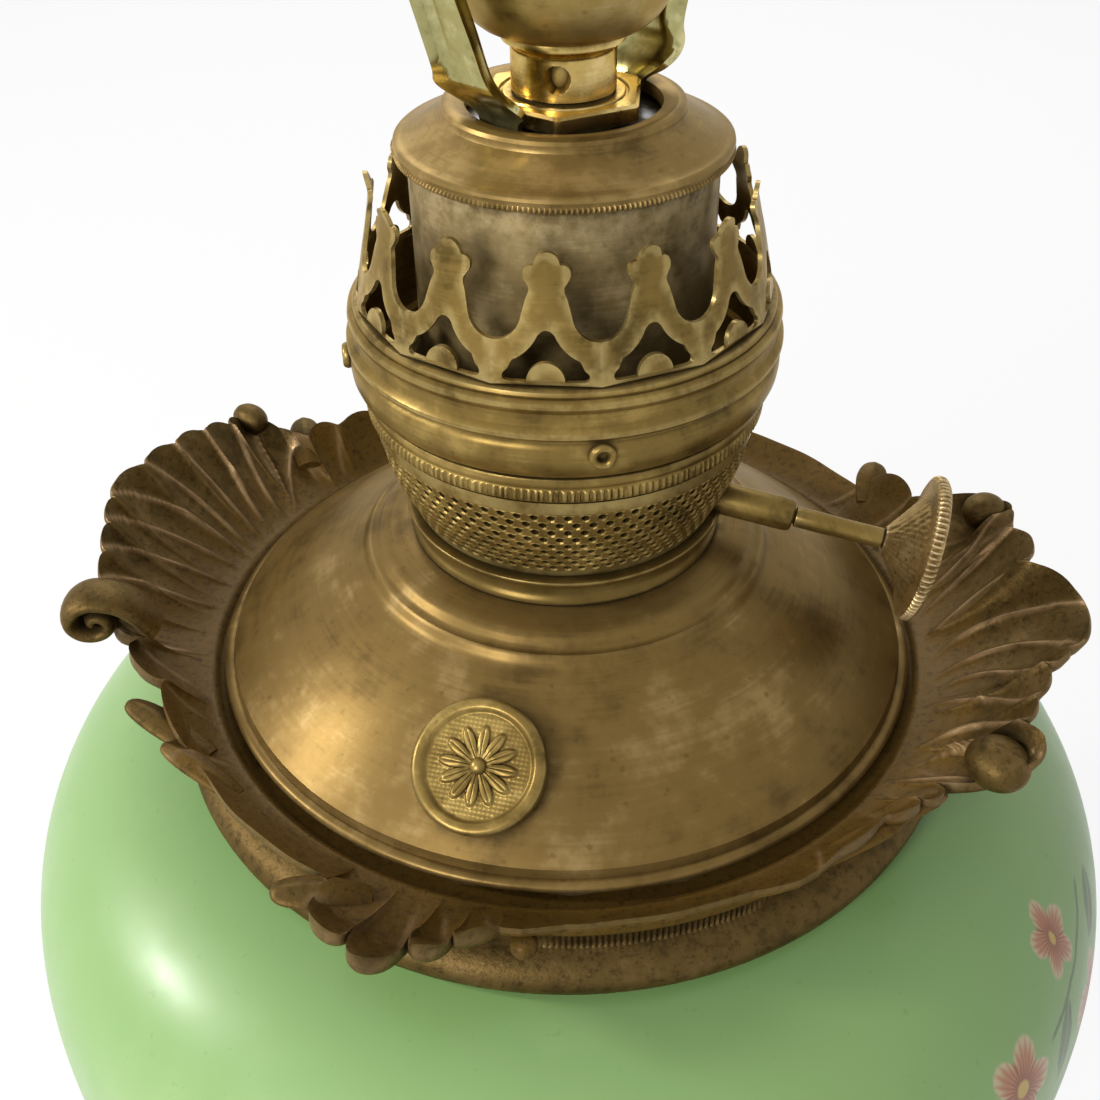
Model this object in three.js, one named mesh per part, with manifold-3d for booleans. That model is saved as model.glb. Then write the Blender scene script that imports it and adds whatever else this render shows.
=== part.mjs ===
// Electrified parlour oil lamp: painted glass body, cast collar, lift-out font with a
// central-draft burner, and a lamp socket on an adapter cap. Millimetres, +Z up, feet on z = 0.
import * as THREE from "three";
import { mergeVertices } from "three/addons/utils/BufferGeometryUtils.js";
import Module from "manifold-3d";

const wasm = await Module();
wasm.setup();

// Levels (names with level) are heights over the rim of the font dome, which is this far over the table.
const rimHeight = 193;

// Fits that several pieces share
const seatGap = 0.3; // between pieces that rest on each other
const runningGap = 0.35; // between pieces that turn or slide in each other
const sheet = 0.9; // spun brass sheet
const pipe = { radius: 4.8, boreRadius: 3.2 }; // threaded lamp pipe
const pipeNut = { acrossCorners: 19, thickness: 4 };

// Glass body
const glass = {
  radius: 110.4,
  beltLevel: -68.2,
  shoulderRise: 56.3,
  shoulderPower: 3.2,
  bellyFall: 70,
  bellyPower: 2.6,
  wall: 3.4,
  mouthOverlap: 0.2,
  floorRadius: 40,
};

// Foot
const foot = {
  seatRadius: 30,
  waistRadius: 27,
  waistRise: 12,
  skirtRadius: 64,
  skirtThickness: 3.2,
  skirtRise: 13,
  plateThickness: 4,
  scrolls: 4,
  scrollReach: 80,
  scrollRoot: 52,
  scrollWidth: 17,
  scrollRise: 24,
  scrollCurl: 7.5,
  bellyRadiusShare: 0.72,
  bellyLevelShare: 0.42,
  padLength: 14,
};
const footCup = { lipRadius: 56, lipBead: 2.2, thickness: 2, neckRadius: 31, neckDrop: 6 };
const washers = { footRadius: 15, glassRadius: 26, thickness: 1.6 };
const bushing = { boreRadius: 3, neckRadius: 4.4, flangeRadius: 6.6, flangeThickness: 1.6, rise: 7 };

// Ornamental collar
const collar = {
  boreRadius: 61.8,
  ledgeLevel: -2.9,
  ledgeThickness: 2.4,
  ledgeWidth: 4.2,
  footFlare: 1.6,
  footBead: 2,
  neckWall: 2.8,
  neckLevel: -8.5,
  skirtFlare: 2.2,
  skirtLevel: -4,
  channelInset: 1.4,
  channelLevel: -1.6,
  pocketClearance: 1.3,
  edgeOverhang: 3.5,
  edgeLevel: 1.5,
  lip: 1.4,
  swellPower: 2.4,
  swellEase: 0.7,
  slopePower: 1.5,
  slopeShares: [0.33, 0.66],
  plainStepDegrees: 6,
  closestStepDegrees: 0.8,
  stepsPerLobe: 4,
};

// Ornaments of the collar, each met again half a turn on. A lobe is [place, half width, reach] in shares.
const shellOrnament = {
  direction: -11.5,
  halfSpan: 27,
  reach: 92,
  rise: 17,
  flute: 1.4,
  notchShare: 0.55,
  lobeShares: [
    [0.85, 0.17, 0.94],
    [0.42, 0.2, 0.72],
    [-0.04, 0.32, 1],
    [-0.36, 0.12, 0.84],
    [-0.5, 0.12, 0.73],
    [-0.64, 0.1, 0.69],
    [-0.83, 0.15, 0.83],
  ],
};
const palmette = {
  direction: -110,
  halfSpan: 15,
  reach: 85,
  rise: 5.5,
  flute: 0.9,
  notchShare: 0.25,
  lobeShares: [[-0.36, 0.3, 0.7], [0, 0.3, 1], [0.4, 0.3, 0.5]],
};
const leafPair = {
  direction: -155.5,
  halfSpan: 10,
  reach: 81,
  rise: 5,
  flute: 0.5,
  notchShare: 0.25,
  lobeShares: [[-0.45, 0.4, 1], [0.45, 0.4, 0.6]],
};
const blades = {
  direction: -46,
  halfSpan: 11,
  reach: 78,
  rise: 4,
  flute: 0.4,
  notchShare: 0.2,
  lobeShares: [[0.5, 0.3, 1], [0, 0.3, 0.6], [-0.55, 0.3, 0.4]],
};
const spur = {
  direction: -125,
  halfSpan: 6,
  reach: 79.7,
  rise: 3,
  flute: 0.3,
  notchShare: 0.2,
  lobeShares: [[0, 0.7, 1]],
};
const plaster = { boreOverlap: 0.6 };

// Oil font
const dome = {
  rimOverlap: 3.1,
  rimRoll: 1.4,
  stepRadius: 36.9,
  stepLevel: 20.6,
  crown: 1.3,
  stepLip: 0.7,
  crestRadius: 31,
  crestLevel: 24.8,
  topLevel: 25.6,
  openingRadius: 22,
  arcSteps: 4,
};
const bowl = { boreClearance: 2.2, depth: 60, corner: 14, flangeInset: 0.9, cornerSteps: 3 };
const draftTube = { radius: 14, wall: 0.9, topLevel: 52, lowerLip: 2 };
const filler = {
  direction: -105.5,
  rimMargin: 13.3,
  capRadius: 10.8,
  capRim: 1.2,
  capRecess: 0.6,
  capWall: 1.1,
  bushRadius: 7.6,
  bushWall: 1.1,
  bushHeight: 2.8,
  bushDrop: 3,
  flangeRadius: 9.4,
  flangeThickness: 0.8,
  gasketThickness: 1.1,
  petals: 12,
  petalLength: 5.2,
  petalWidth: 1.7,
  petalRise: 0.5,
  budRadius: 1.5,
};

// Burner
const neck = {
  footRadius: 27.6,
  topRadius: 26.7,
  topLevel: 31.2,
  ringRadius: 28.2,
  ringThickness: 1,
  wall: 1.4,
  plugDepth: 7,
  floorThickness: 1.4,
};
const basket = {
  bottomRadius: 26.6,
  bottomLevel: 31.5,
  bulgeRadius: 30.7,
  bulgeLevel: 41,
  bandRadius: 32.5,
  bandLevel: 50.2,
  bandOverhang: 0.7,
  topLevel: 55.1,
  wall: 0.9,
  rimLip: 4,
  holeRows: 3,
  holesPerRow: 28,
  holesPerPanel: 2,
  holeWidth: 2,
  firstRowLevel: 37,
  rowPitch: 4.6,
  staggerShares: [0.28, 0.72],
};
const wickTube = { radius: 18.6, wall: 0.9, topLevel: 50, bottomLevel: 8 };
const winder = {
  direction: -13,
  slopeDegrees: 9.2,
  anchorOffset: 29,
  anchorLevel: 32,
  housingStart: 24.4,
  housingEnd: 40.6,
  housingRadius: 2.9,
  housingLip: 0.7,
  shaftRadius: 1.3,
  stemRadius: 1.8,
  shaftStart: 19.8,
  wheelOffset: 62.9,
  wheelRadius: 12.6,
  wheelThickness: 2.6,
  wheelKnurls: 28,
  knurlDepth: 0.5,
  dishShare: 0.8,
  hubLength: 5.3,
  hubRadius: 9.2,
  hubTipRadius: 2.7,
  pinionRadius: 3.3,
  pinionLength: 2.6,
  pinionTeeth: 8,
  toothDepth: 0.9,
};

// Gallery and coronet
const gallery = {
  bottomRadius: 33.2,
  bottomLevel: 55.5,
  bellyRadius: 35.2,
  bellyLevel: 58.4,
  crestRadius: 35.5,
  crestLevel: 63.6,
  grooveDepth: 0.8,
  hollowRadius: 34.3,
  hollowLevel: 66.4,
  beadRadius: 34.7,
  beadLevel: 68.4,
  neckRadius: 33.5,
  neckLevel: 70.4,
  wall: 0.9,
  floorRadius: 21,
  floorThickness: 1.1,
};
const rivet = { radius: 2.1, boreRadius: 0.9, headThickness: 0.9, level: 60.6, count: 4, direction: -82 };
const coronet = {
  prongs: 13,
  firstDirection: -95.5,
  shoulderRadius: 33.3,
  leanRadius: 29.6,
  leanLevel: 87,
  tipRadius: 30,
  height: 18.9,
  wall: 0.8,
  valleyRise: 6.3,
  valleyRadius: 4.3,
  waistHalfWidth: 2.8,
  waistRise: 13.4,
  earCentre: 2.4,
  earRise: 15.6,
  earRadius: 1.3,
  lobeRadius: 1.9,
  tabRadius: 2.8,
  tabRise: 0.8,
  ribbonWidth: 3.2,
  archCorner: 6.3,
  archCornerRise: 2.2,
  archRise: 7.6,
};

// Adapter cap and sleeve
const sleeve = { radius: 23.6, wall: 0.8, topLevel: 92.6, flare: 1.4, flareRise: 3, hem: 1.6 };
const cap = {
  rimRadius: 25.5,
  rimLevel: 95,
  rimBead: 1.3,
  shoulderRadius: 18.2,
  shoulderLevel: 98.9,
  lipRise: 1.5,
  holeRadius: 14.6,
  wall: 1,
  skirtDrop: 2.2,
};
const hexPlate = {
  cornerRadius: 12.8,
  direction: 25,
  topLevel: 101.4,
  thickness: 2.6,
  groove: 0.5,
  bossRadius: 9,
};
const nipple = { bottomLevel: 84, topLevel: 110 };
const lowerWasher = { radius: 17.5, thickness: 1.4 };

// Harp and its saddle
const harpDirection = 45;
const saddle = {
  eyeRadius: 9,
  stripHalfWidth: 3.6,
  stripThickness: 1.1,
  elbowOffset: 12.4,
  shoulderOffset: 16.4,
  shoulderLevel: 104.6,
  shoulderHalfWidth: 7.6,
  armHalfWidth: 5.2,
  armOffset: 17.6,
  armFootLevel: 107.5,
  armTopOffset: 26,
  armTopLevel: 131,
  flangeDepth: 1.8,
  stripLip: 0.3,
  postRadius: 2.2,
  postDrop: 9,
  postRise: 5,
};
const harp = {
  wireRadius: 1.6,
  topLevel: 286,
  bulgeOffset: 52,
  bulgeLevel: 212,
  crownOffset: 22,
  eyeRadius: 7,
  eyeThickness: 2.4,
  studRadius: 2,
  studHeight: 9,
  steps: 22,
};
const ferrule = { wall: 0.8, length: 11 };
const finial = {
  radius: 8,
  height: 19,
  waistRadius: 3.6,
  discRadius: 6.4,
  discThickness: 1.4,
  knobShares: [0.55, 0.72, 0.92],
};

// Lamp socket
const socket = {
  neckRadius: 7.7,
  neckLevel: 101.8,
  neckHeight: 6.6,
  ringRadius: 9,
  ringHeight: 1.8,
  bellRadius: 17.2,
  bellHeight: 13.5,
  seamHeight: 5,
  shellTopLevel: 164,
  shellBead: 1.1,
  wall: 0.7,
  linerThickness: 0.7,
  screwHoleRadius: 1.8,
  screwHoleDirection: -98,
  screwHoleRise: 3.2,
  keySlotRadius: 3.2,
  keyLevel: 133.5,
  keyDirection: -45,
};
const socketBody = { bottomLevel: 127, topLevel: 141.5 };
const screwShell = { wall: 0.5, topLevel: 161, threadDepth: 0.6, threads: 3 };
const contact = { width: 6, length: 14, thickness: 0.6, rise: 3.2 };
const switchKey = {
  stemRadius: 1.5,
  stemLength: 17,
  width: 15,
  height: 9,
  thickness: 2.6,
  root: 9.6,
  boreShare: 0.6,
};

// Smoothness of round pieces
const roundSteps = { large: 28, medium: 22, small: 14, tiny: 8 };
const fullTurn = 360;
const halfTurn = fullTurn / 2;

// Finishes
const agedBrass = { color: 0x8a6d3b, roughness: 0.42, metalness: 0.9 };
const burnerBrass = { color: 0x8f7a41, roughness: 0.38, metalness: 0.92 };
const darkCasting = { color: 0x5a4030, roughness: 0.62, metalness: 0.75 };
const tarnishedSleeve = { color: 0x7b7262, roughness: 0.45, metalness: 0.8 };
const polishedBrass = { color: 0xcaa94c, roughness: 0.2, metalness: 1 };
const greenGlass = { color: 0x74b878, roughness: 0.12, metalness: 0 };
const plainSteel = { color: 0x8d8f92, roughness: 0.4, metalness: 0.9 };
const blackMoulding = { color: 0x1d1c1b, roughness: 0.55, metalness: 0 };
const paleFibre = { color: 0xb9aa8a, roughness: 0.85, metalness: 0 };
const whitePlaster = { color: 0xd8d2c4, roughness: 0.9, metalness: 0 };
const corkRing = { color: 0x8c6b49, roughness: 0.9, metalness: 0 };
const castPorcelain = { color: 0xe9e6de, roughness: 0.3, metalness: 0 };

// Geometry helpers
const turn = THREE.MathUtils.degToRad;
const mix = THREE.MathUtils.lerp;

function outward(geometry) {
  const p = geometry.index ? geometry.toNonIndexed() : geometry;
  const a = new THREE.Vector3();
  const b = new THREE.Vector3();
  const c = new THREE.Vector3();
  const position = p.getAttribute("position");
  let volume = 0;
  for (let i = 0; i < position.count; i += 3) {
    a.fromBufferAttribute(position, i);
    b.fromBufferAttribute(position, i + 1);
    c.fromBufferAttribute(position, i + 2);
    volume += a.dot(b.cross(c));
  }
  if (volume < 0) {
    for (let i = 0; i < position.count; i += 3) {
      a.fromBufferAttribute(position, i + 1);
      b.fromBufferAttribute(position, i + 2);
      position.setXYZ(i + 1, b.x, b.y, b.z);
      position.setXYZ(i + 2, a.x, a.y, a.z);
    }
  }
  const plain = new THREE.BufferGeometry().setAttribute("position", position);
  const closed = mergeVertices(plain);
  closed.computeVertexNormals();
  return closed;
}

function toSolid(geometry) {
  const merged = mergeVertices(outward(geometry));
  return new wasm.Manifold(
    new wasm.Mesh({
      numProp: 3,
      vertProperties: new Float32Array(merged.attributes.position.array),
      triVerts: new Uint32Array(merged.index.array),
    }),
  );
}

function fromSolid(solid) {
  const mesh = solid.getMesh();
  const geometry = new THREE.BufferGeometry();
  const stride = mesh.numProp;
  const points = new Float32Array(mesh.numVert * 3);
  for (let i = 0; i < mesh.numVert; i++) {
    points.set(mesh.vertProperties.subarray(i * stride, i * stride + 3), i * 3);
  }
  geometry.setAttribute("position", new THREE.BufferAttribute(points, 3));
  geometry.setIndex(new THREE.BufferAttribute(new Uint32Array(mesh.triVerts), 1));
  geometry.computeVertexNormals();
  return geometry;
}

function join(...geometries) {
  return fromSolid(geometries.map(toSolid).reduce((whole, next) => whole.add(next)));
}

function cut(body, ...tools) {
  return fromSolid(tools.map(toSolid).reduce((rest, tool) => rest.subtract(tool), toSolid(body)));
}

// A profile of [radius, level] points turned about the Z axis; it ends on the axis or closes on itself.
function revolve(profile, steps) {
  const first = profile[0];
  const last = profile[profile.length - 1];
  const onAxis = first[0] === 0 && last[0] === 0;
  const points = onAxis ? profile : [...profile, first];
  const lathe = new THREE.LatheGeometry(
    points.map(([radius, level]) => new THREE.Vector2(radius, level)),
    steps,
  );
  return outward(lathe.rotateX(Math.PI / 2));
}

function ring(innerRadius, outerRadius, bottom, top, steps) {
  return revolve(
    [[innerRadius, bottom], [outerRadius, bottom], [outerRadius, top], [innerRadius, top]],
    steps,
  );
}

function disc(radius, bottom, top, steps) {
  return revolve([[0, bottom], [radius, bottom], [radius, top], [0, top]], steps);
}

function arcPoints(centre, radius, fromDegrees, toDegrees, steps) {
  return Array.from({ length: steps + 1 }, (_, i) => {
    const angle = turn(mix(fromDegrees, toDegrees, i / steps));
    return [centre[0] + radius * Math.cos(angle), centre[1] + radius * Math.sin(angle)];
  });
}

function prism(outline, thickness) {
  const shape = new THREE.Shape(outline.map(([x, y]) => new THREE.Vector2(x, y)));
  return outward(new THREE.ExtrudeGeometry(shape, { depth: thickness, bevelEnabled: false }));
}

function polygonPrism(sides, cornerRadius, bottom, top, direction = 0) {
  const corners = arcPoints([0, 0], cornerRadius, direction, direction + fullTurn, sides).slice(0, sides);
  return prism(corners, top - bottom).translate(0, 0, bottom);
}

function hexNut(bottom, thickness, boreRadius) {
  const body = polygonPrism(6, pipeNut.acrossCorners / 2, bottom, bottom + thickness);
  return cut(body, disc(boreRadius, bottom - thickness, bottom + 2 * thickness, roundSteps.tiny));
}

// Radius at a level on a profile of [radius, level] points that rises from start to end
function radiusAt(profile, level) {
  const above = profile.findIndex((point) => point[1] >= level);
  if (above === -1) return profile[profile.length - 1][0];
  if (above === 0) return profile[0][0];
  const [lowRadius, low] = profile[above - 1];
  const [highRadius, high] = profile[above];
  return mix(lowRadius, highRadius, (level - low) / (high - low));
}

// A round sheet wall made of equal panels. Each panel is an outline with holes, drawn in arc length
// and level; its left and right edges are seams, where neighbouring panels share their points.
function piercedWall({ outline, holes, panels, thickness, profile, direction }) {
  const vectors = (points) => points.map(([x, y]) => new THREE.Vector2(x, y));
  const loops = [outline, ...holes];
  const faces = THREE.ShapeUtils.triangulateShape(vectors(outline), holes.map(vectors));
  const flat = loops.flat();
  const half = Math.max(...outline.map(([x]) => x));
  const corners = [];
  for (let panel = 0; panel < panels; panel++) {
    const place = ([x, level], inset) => {
      const angle = turn(direction + (fullTurn / panels) * (panel + x / half / 2));
      const radius = radiusAt(profile, level) - inset;
      return [radius * Math.cos(angle), radius * Math.sin(angle), level];
    };
    for (const [a, b, c] of faces) {
      corners.push(place(flat[a], 0), place(flat[b], 0), place(flat[c], 0));
      corners.push(place(flat[a], thickness), place(flat[c], thickness), place(flat[b], thickness));
    }
    loops.forEach((loop, index) => {
      const clockwise = THREE.ShapeUtils.isClockWise(vectors(loop));
      const ordered = clockwise === (index === 0) ? [...loop].reverse() : loop;
      ordered.forEach((from, i) => {
        const to = ordered[(i + 1) % ordered.length];
        if (Math.abs(from[0]) === half && from[0] === to[0]) return;
        corners.push(place(to, 0), place(from, 0), place(from, thickness));
        corners.push(place(to, 0), place(from, thickness), place(to, thickness));
      });
    });
  }
  const geometry = new THREE.BufferGeometry();
  geometry.setAttribute("position", new THREE.Float32BufferAttribute(corners.flat(), 3));
  return outward(geometry);
}

function around(geometry, degrees) {
  return geometry.clone().rotateZ(turn(degrees));
}

// Moves a solid from the Z axis onto the winder's slanting axis
function alongWinder(geometry) {
  const down = turn(fullTurn / 4 + winder.slopeDegrees);
  const slanting = geometry.clone().rotateY(down).translate(0, 0, winderLevelAt(0));
  return around(outward(slanting), winder.direction);
}

function winderLevelAt(offset) {
  return winder.anchorLevel - (offset - winder.anchorOffset) * Math.tan(turn(winder.slopeDegrees));
}

function winderRun(offset) {
  return offset / Math.cos(turn(winder.slopeDegrees));
}

// Assembly tree: each mesh is one separate piece
const lamp = new THREE.Group();
const assemblies = {};
for (const name of ["base", "font", "burner", "gallery", "adapter", "harp", "socket"]) {
  assemblies[name] = new THREE.Group();
  assemblies[name].name = name + "_assembly";
  assemblies[name].position.z = rimHeight;
  lamp.add(assemblies[name]);
}

function piece(assembly, name, geometry, finish) {
  const mesh = new THREE.Mesh(outward(geometry), new THREE.MeshStandardMaterial(finish));
  mesh.name = name;
  assemblies[assembly].add(mesh);
  return mesh;
}

// Glass body: a squared-off ellipse for the shoulder and a rounder one for the belly
function shoulderLevel(radius, inset = 0) {
  const share = 1 - (radius / (glass.radius - inset)) ** glass.shoulderPower;
  return glass.beltLevel + (glass.shoulderRise - inset) * share ** (1 / glass.shoulderPower);
}

function bellyLevel(radius, inset = 0) {
  const share = 1 - (radius / (glass.radius - inset)) ** glass.bellyPower;
  return glass.beltLevel - (glass.bellyFall - inset) * share ** (1 / glass.bellyPower);
}

function bulge(rise, power, inset, endRadius, steps) {
  const radius = glass.radius - inset;
  const end = Math.acos((endRadius / radius) ** (power / 2));
  return Array.from({ length: steps + 1 }, (_, i) => {
    const angle = (end * i) / steps;
    return [
      radius * Math.cos(angle) ** (2 / power),
      glass.beltLevel + rise * Math.sin(angle) ** (2 / power),
    ];
  });
}

const glassMouthRadius = collar.boreRadius + glass.mouthOverlap;

function glassWall(inset, steps) {
  const belly = bulge(-(glass.bellyFall - inset), glass.bellyPower, inset, glass.floorRadius, steps);
  const shoulder = bulge(glass.shoulderRise - inset, glass.shoulderPower, inset, glassMouthRadius, steps);
  return [...belly.reverse(), ...shoulder.slice(1)];
}

const glassSteps = 5;
const glassHoleRadius = pipe.radius + seatGap;
const glassFloorLevel = bellyLevel(glass.floorRadius);
const glassInnerFloorLevel = bellyLevel(glass.floorRadius, glass.wall);
const glassBody = revolve(
  [
    [glassHoleRadius, glassFloorLevel],
    ...glassWall(0, glassSteps),
    ...glassWall(glass.wall, glassSteps).reverse(),
    [glassHoleRadius, glassInnerFloorLevel],
  ],
  roundSteps.large,
);
piece("base", "glass_body", glassBody, greenGlass);

// Cup that carries the glass: its upper face follows the belly
const cupTop = [footCup.neckRadius, glass.floorRadius, footCup.lipRadius].map((radius) => [
  radius,
  bellyLevel(Math.max(radius, glass.floorRadius)) - seatGap,
]);
const cupBottom = cupTop.map(([radius, level]) => [radius, level - footCup.thickness]).reverse();
const footTopLevel = cupBottom[cupBottom.length - 1][1] - footCup.neckDrop;
const cupHoleRadius = pipe.radius + seatGap;
const cupLip = [footCup.lipRadius + footCup.lipBead, cupTop[2][1]];
const cup = revolve(
  [
    [cupHoleRadius, cupTop[0][1]],
    ...cupTop,
    cupLip,
    [cupLip[0], cupLip[1] - footCup.lipBead],
    ...cupBottom,
    [footCup.neckRadius, footTopLevel + seatGap],
    [cupHoleRadius, footTopLevel + seatGap],
  ],
  roundSteps.medium,
);
piece("base", "foot_cup", cup, agedBrass);

// Foot: a hollow domed casting on four scroll feet
const tableLevel = -rimHeight;
const skirtBottom = tableLevel + foot.skirtRise;
const waistLevel = footTopLevel - foot.waistRise;
const footBelly = [
  mix(foot.waistRadius, foot.skirtRadius, foot.bellyRadiusShare),
  mix(waistLevel, skirtBottom, foot.bellyLevelShare),
];
const footOuter = [
  [foot.seatRadius, footTopLevel],
  [foot.seatRadius, footTopLevel - foot.plateThickness],
  [foot.waistRadius, waistLevel],
  [foot.waistRadius + foot.skirtThickness * 2, waistLevel - foot.skirtThickness],
  footBelly,
  [foot.skirtRadius, skirtBottom + foot.skirtThickness],
  [foot.skirtRadius + foot.skirtThickness, skirtBottom + foot.skirtThickness / 2],
  [foot.skirtRadius + foot.skirtThickness, skirtBottom],
];
const footInner = [
  [foot.skirtRadius - foot.skirtThickness, skirtBottom],
  footBelly.map((size) => size - foot.skirtThickness),
  [foot.waistRadius - foot.skirtThickness, waistLevel - foot.skirtThickness],
  [foot.waistRadius - foot.skirtThickness, footTopLevel - foot.plateThickness],
  [pipe.radius + seatGap, footTopLevel - foot.plateThickness],
  [pipe.radius + seatGap, footTopLevel],
];
const footDome = revolve([...footOuter, ...footInner], roundSteps.medium);

function scrollFoot() {
  const padInner = foot.scrollReach - foot.padLength;
  const shape = new THREE.Shape();
  shape.moveTo(foot.scrollRoot, foot.scrollRise);
  shape.quadraticCurveTo(padInner, foot.scrollRise, foot.scrollReach - foot.scrollCurl, foot.scrollCurl * 2);
  const curlCentre = [foot.scrollReach - foot.scrollCurl, foot.scrollCurl];
  shape.absarc(...curlCentre, foot.scrollCurl, Math.PI / 2, -Math.PI / 2, true);
  shape.lineTo(padInner, 0);
  shape.quadraticCurveTo(padInner, foot.skirtRise, foot.scrollRoot, foot.skirtRise);
  const options = { depth: foot.scrollWidth, bevelEnabled: false, curveSegments: 5 };
  const scroll = new THREE.ExtrudeGeometry(shape, options);
  scroll.translate(0, 0, -foot.scrollWidth / 2).rotateX(Math.PI / 2);
  return outward(scroll.translate(0, 0, tableLevel));
}

const scrolls = Array.from({ length: foot.scrolls }, (_, i) =>
  around(scrollFoot(), (fullTurn / foot.scrolls) * (i + 0.5)),
);
const bushingLevel = tableLevel + foot.skirtRise + bushing.rise;
const bushingAcross = foot.skirtRadius - foot.skirtThickness;

function bushingSolid(profile) {
  const solid = revolve(profile, roundSteps.tiny).rotateX(-Math.PI / 2);
  return outward(solid.translate(0, bushingAcross, bushingLevel));
}

const wallHalf = foot.skirtThickness * 2;
const bushingFlat = wallHalf + bushing.flangeThickness;
const bushingHole = bushingSolid([
  [0, -wallHalf * 2],
  [bushing.neckRadius + seatGap, -wallHalf * 2],
  [bushing.neckRadius + seatGap, wallHalf],
  [bushing.flangeRadius + seatGap, wallHalf],
  [bushing.flangeRadius + seatGap, wallHalf * 3],
  [0, wallHalf * 3],
]);
piece("base", "foot_casting", cut(join(footDome, ...scrolls), bushingHole), darkCasting);
const bushingBody = bushingSolid([
  [bushing.boreRadius, -wallHalf],
  [bushing.neckRadius, -wallHalf],
  [bushing.neckRadius, wallHalf + seatGap],
  [bushing.flangeRadius, wallHalf + seatGap],
  [bushing.flangeRadius, bushingFlat],
  [bushing.boreRadius, bushingFlat],
]);
piece("base", "cord_bushing", bushingBody, blackMoulding);

// Threaded pipe with its nuts and washers: it clamps foot, cup and glass
const glassWasherTop = glassInnerFloorLevel + seatGap + washers.thickness;
const glassNutTop = glassWasherTop + seatGap + pipeNut.thickness;
const footWasherTop = footTopLevel - foot.plateThickness - seatGap;
const footNutTop = footWasherTop - washers.thickness - seatGap;
const footPipeBottom = footNutTop - pipeNut.thickness * 2;
const pipeBore = pipe.radius + seatGap;
piece(
  "base",
  "base_pipe",
  ring(pipe.boreRadius, pipe.radius, footPipeBottom, glassNutTop + pipeNut.thickness, roundSteps.tiny),
  plainSteel,
);
piece(
  "base",
  "glass_washer",
  ring(pipeBore, washers.glassRadius, glassInnerFloorLevel + seatGap, glassWasherTop, roundSteps.small),
  plainSteel,
);
piece("base", "glass_nut", hexNut(glassWasherTop + seatGap, pipeNut.thickness, pipeBore), plainSteel);
piece(
  "base",
  "foot_washer",
  ring(pipeBore, washers.footRadius, footWasherTop - washers.thickness, footWasherTop, roundSteps.small),
  plainSteel,
);
piece("base", "foot_nut", hexNut(footNutTop - pipeNut.thickness, pipeNut.thickness, pipeBore), plainSteel);

// Collar: one closed section swept round the lamp; its outer edge and flutes follow the ornaments.
// Its radii are the bore's, each a wall, step or clearance further out
const collarWallRadius = collar.boreRadius + collar.ledgeWidth;
const collarChannelRadius = collarWallRadius + collar.channelInset;
const collarNeckRadius = collarWallRadius + collar.neckWall;
const collarFootRadius = collarNeckRadius + collar.footFlare;
const collarSkirtRadius = collarNeckRadius + collar.skirtFlare;
const collarEdgeRadius = collarSkirtRadius + collar.edgeOverhang;
const domeRimRadius = collar.boreRadius + dome.rimOverlap;
const collarPocketRadius = domeRimRadius + collar.pocketClearance;
const plasterInnerRadius = collar.boreRadius + plaster.boreOverlap;
const fillerOffset = domeRimRadius - filler.rimMargin;
const ornaments = [0, halfTurn].flatMap((turned) =>
  [shellOrnament, palmette, leafPair, blades, spur].map((ornament) => ({
    ...ornament,
    direction: ornament.direction + turned,
  })),
);

function withinTurn(degrees) {
  return ((degrees % fullTurn) + fullTurn) % fullTurn;
}

function angleBetween(a, b) {
  return withinTurn(a - b + halfTurn) - halfTurn;
}

function collarEdge(degrees) {
  const edge = { radius: collarEdgeRadius, level: collar.edgeLevel, flute: 0 };
  for (const ornament of ornaments) {
    const across = angleBetween(degrees, ornament.direction) / ornament.halfSpan;
    if (Math.abs(across) >= 1) continue;
    const swell = (1 - Math.abs(across) ** collar.swellPower) ** collar.swellEase;
    const lobes = ornament.lobeShares.map(([place, half, reach]) => {
      const aside = (across - place) / half;
      return Math.abs(aside) < 1 ? reach * Math.sqrt(1 - aside ** 2) : 0;
    });
    const lobe = Math.max(...lobes);
    const reach = Math.max(lobe, ornament.notchShare * swell);
    const radius = mix(collarEdgeRadius, ornament.reach, reach);
    if (radius <= edge.radius) continue;
    edge.radius = radius;
    edge.level = mix(collar.edgeLevel, ornament.rise, swell);
    edge.flute = ornament.flute * swell * (1 - 2 * lobe);
  }
  return edge;
}

function collarSection(degrees) {
  const edge = collarEdge(degrees);
  const footLevel = shoulderLevel(collarFootRadius) + seatGap;
  const crest = edge.level + collar.lip;
  const [inner, outer] = collar.slopeShares;
  const between = (share, sag) => [
    mix(collarChannelRadius, edge.radius, share),
    mix(collar.channelLevel, crest, share ** collar.slopePower) + sag,
  ];
  const under = (share, sag) => {
    const [radius, level] = between(share, sag);
    return [Math.max(radius, collarSkirtRadius), Math.max(level - collar.lip * 2, collar.skirtLevel)];
  };
  return [
    [collarWallRadius, shoulderLevel(collarWallRadius) + seatGap],
    [collarFootRadius, footLevel],
    [collarFootRadius + collar.footBead, footLevel + collar.footBead],
    [collarNeckRadius, collar.neckLevel],
    [collarSkirtRadius, collar.skirtLevel],
    under(outer, edge.flute),
    [edge.radius - collar.lip, edge.level - collar.lip],
    [edge.radius, edge.level],
    [edge.radius - collar.lip, crest],
    between(outer, edge.flute),
    between(inner, edge.flute / 2 - collar.lip / 2),
    [collarChannelRadius, collar.channelLevel],
    [collarPocketRadius, collar.ledgeLevel],
    [collar.boreRadius, collar.ledgeLevel],
    [collar.boreRadius, collar.ledgeLevel - collar.ledgeThickness],
    [collarWallRadius, collar.ledgeLevel - collar.ledgeThickness * 1.5],
  ];
}

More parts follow.
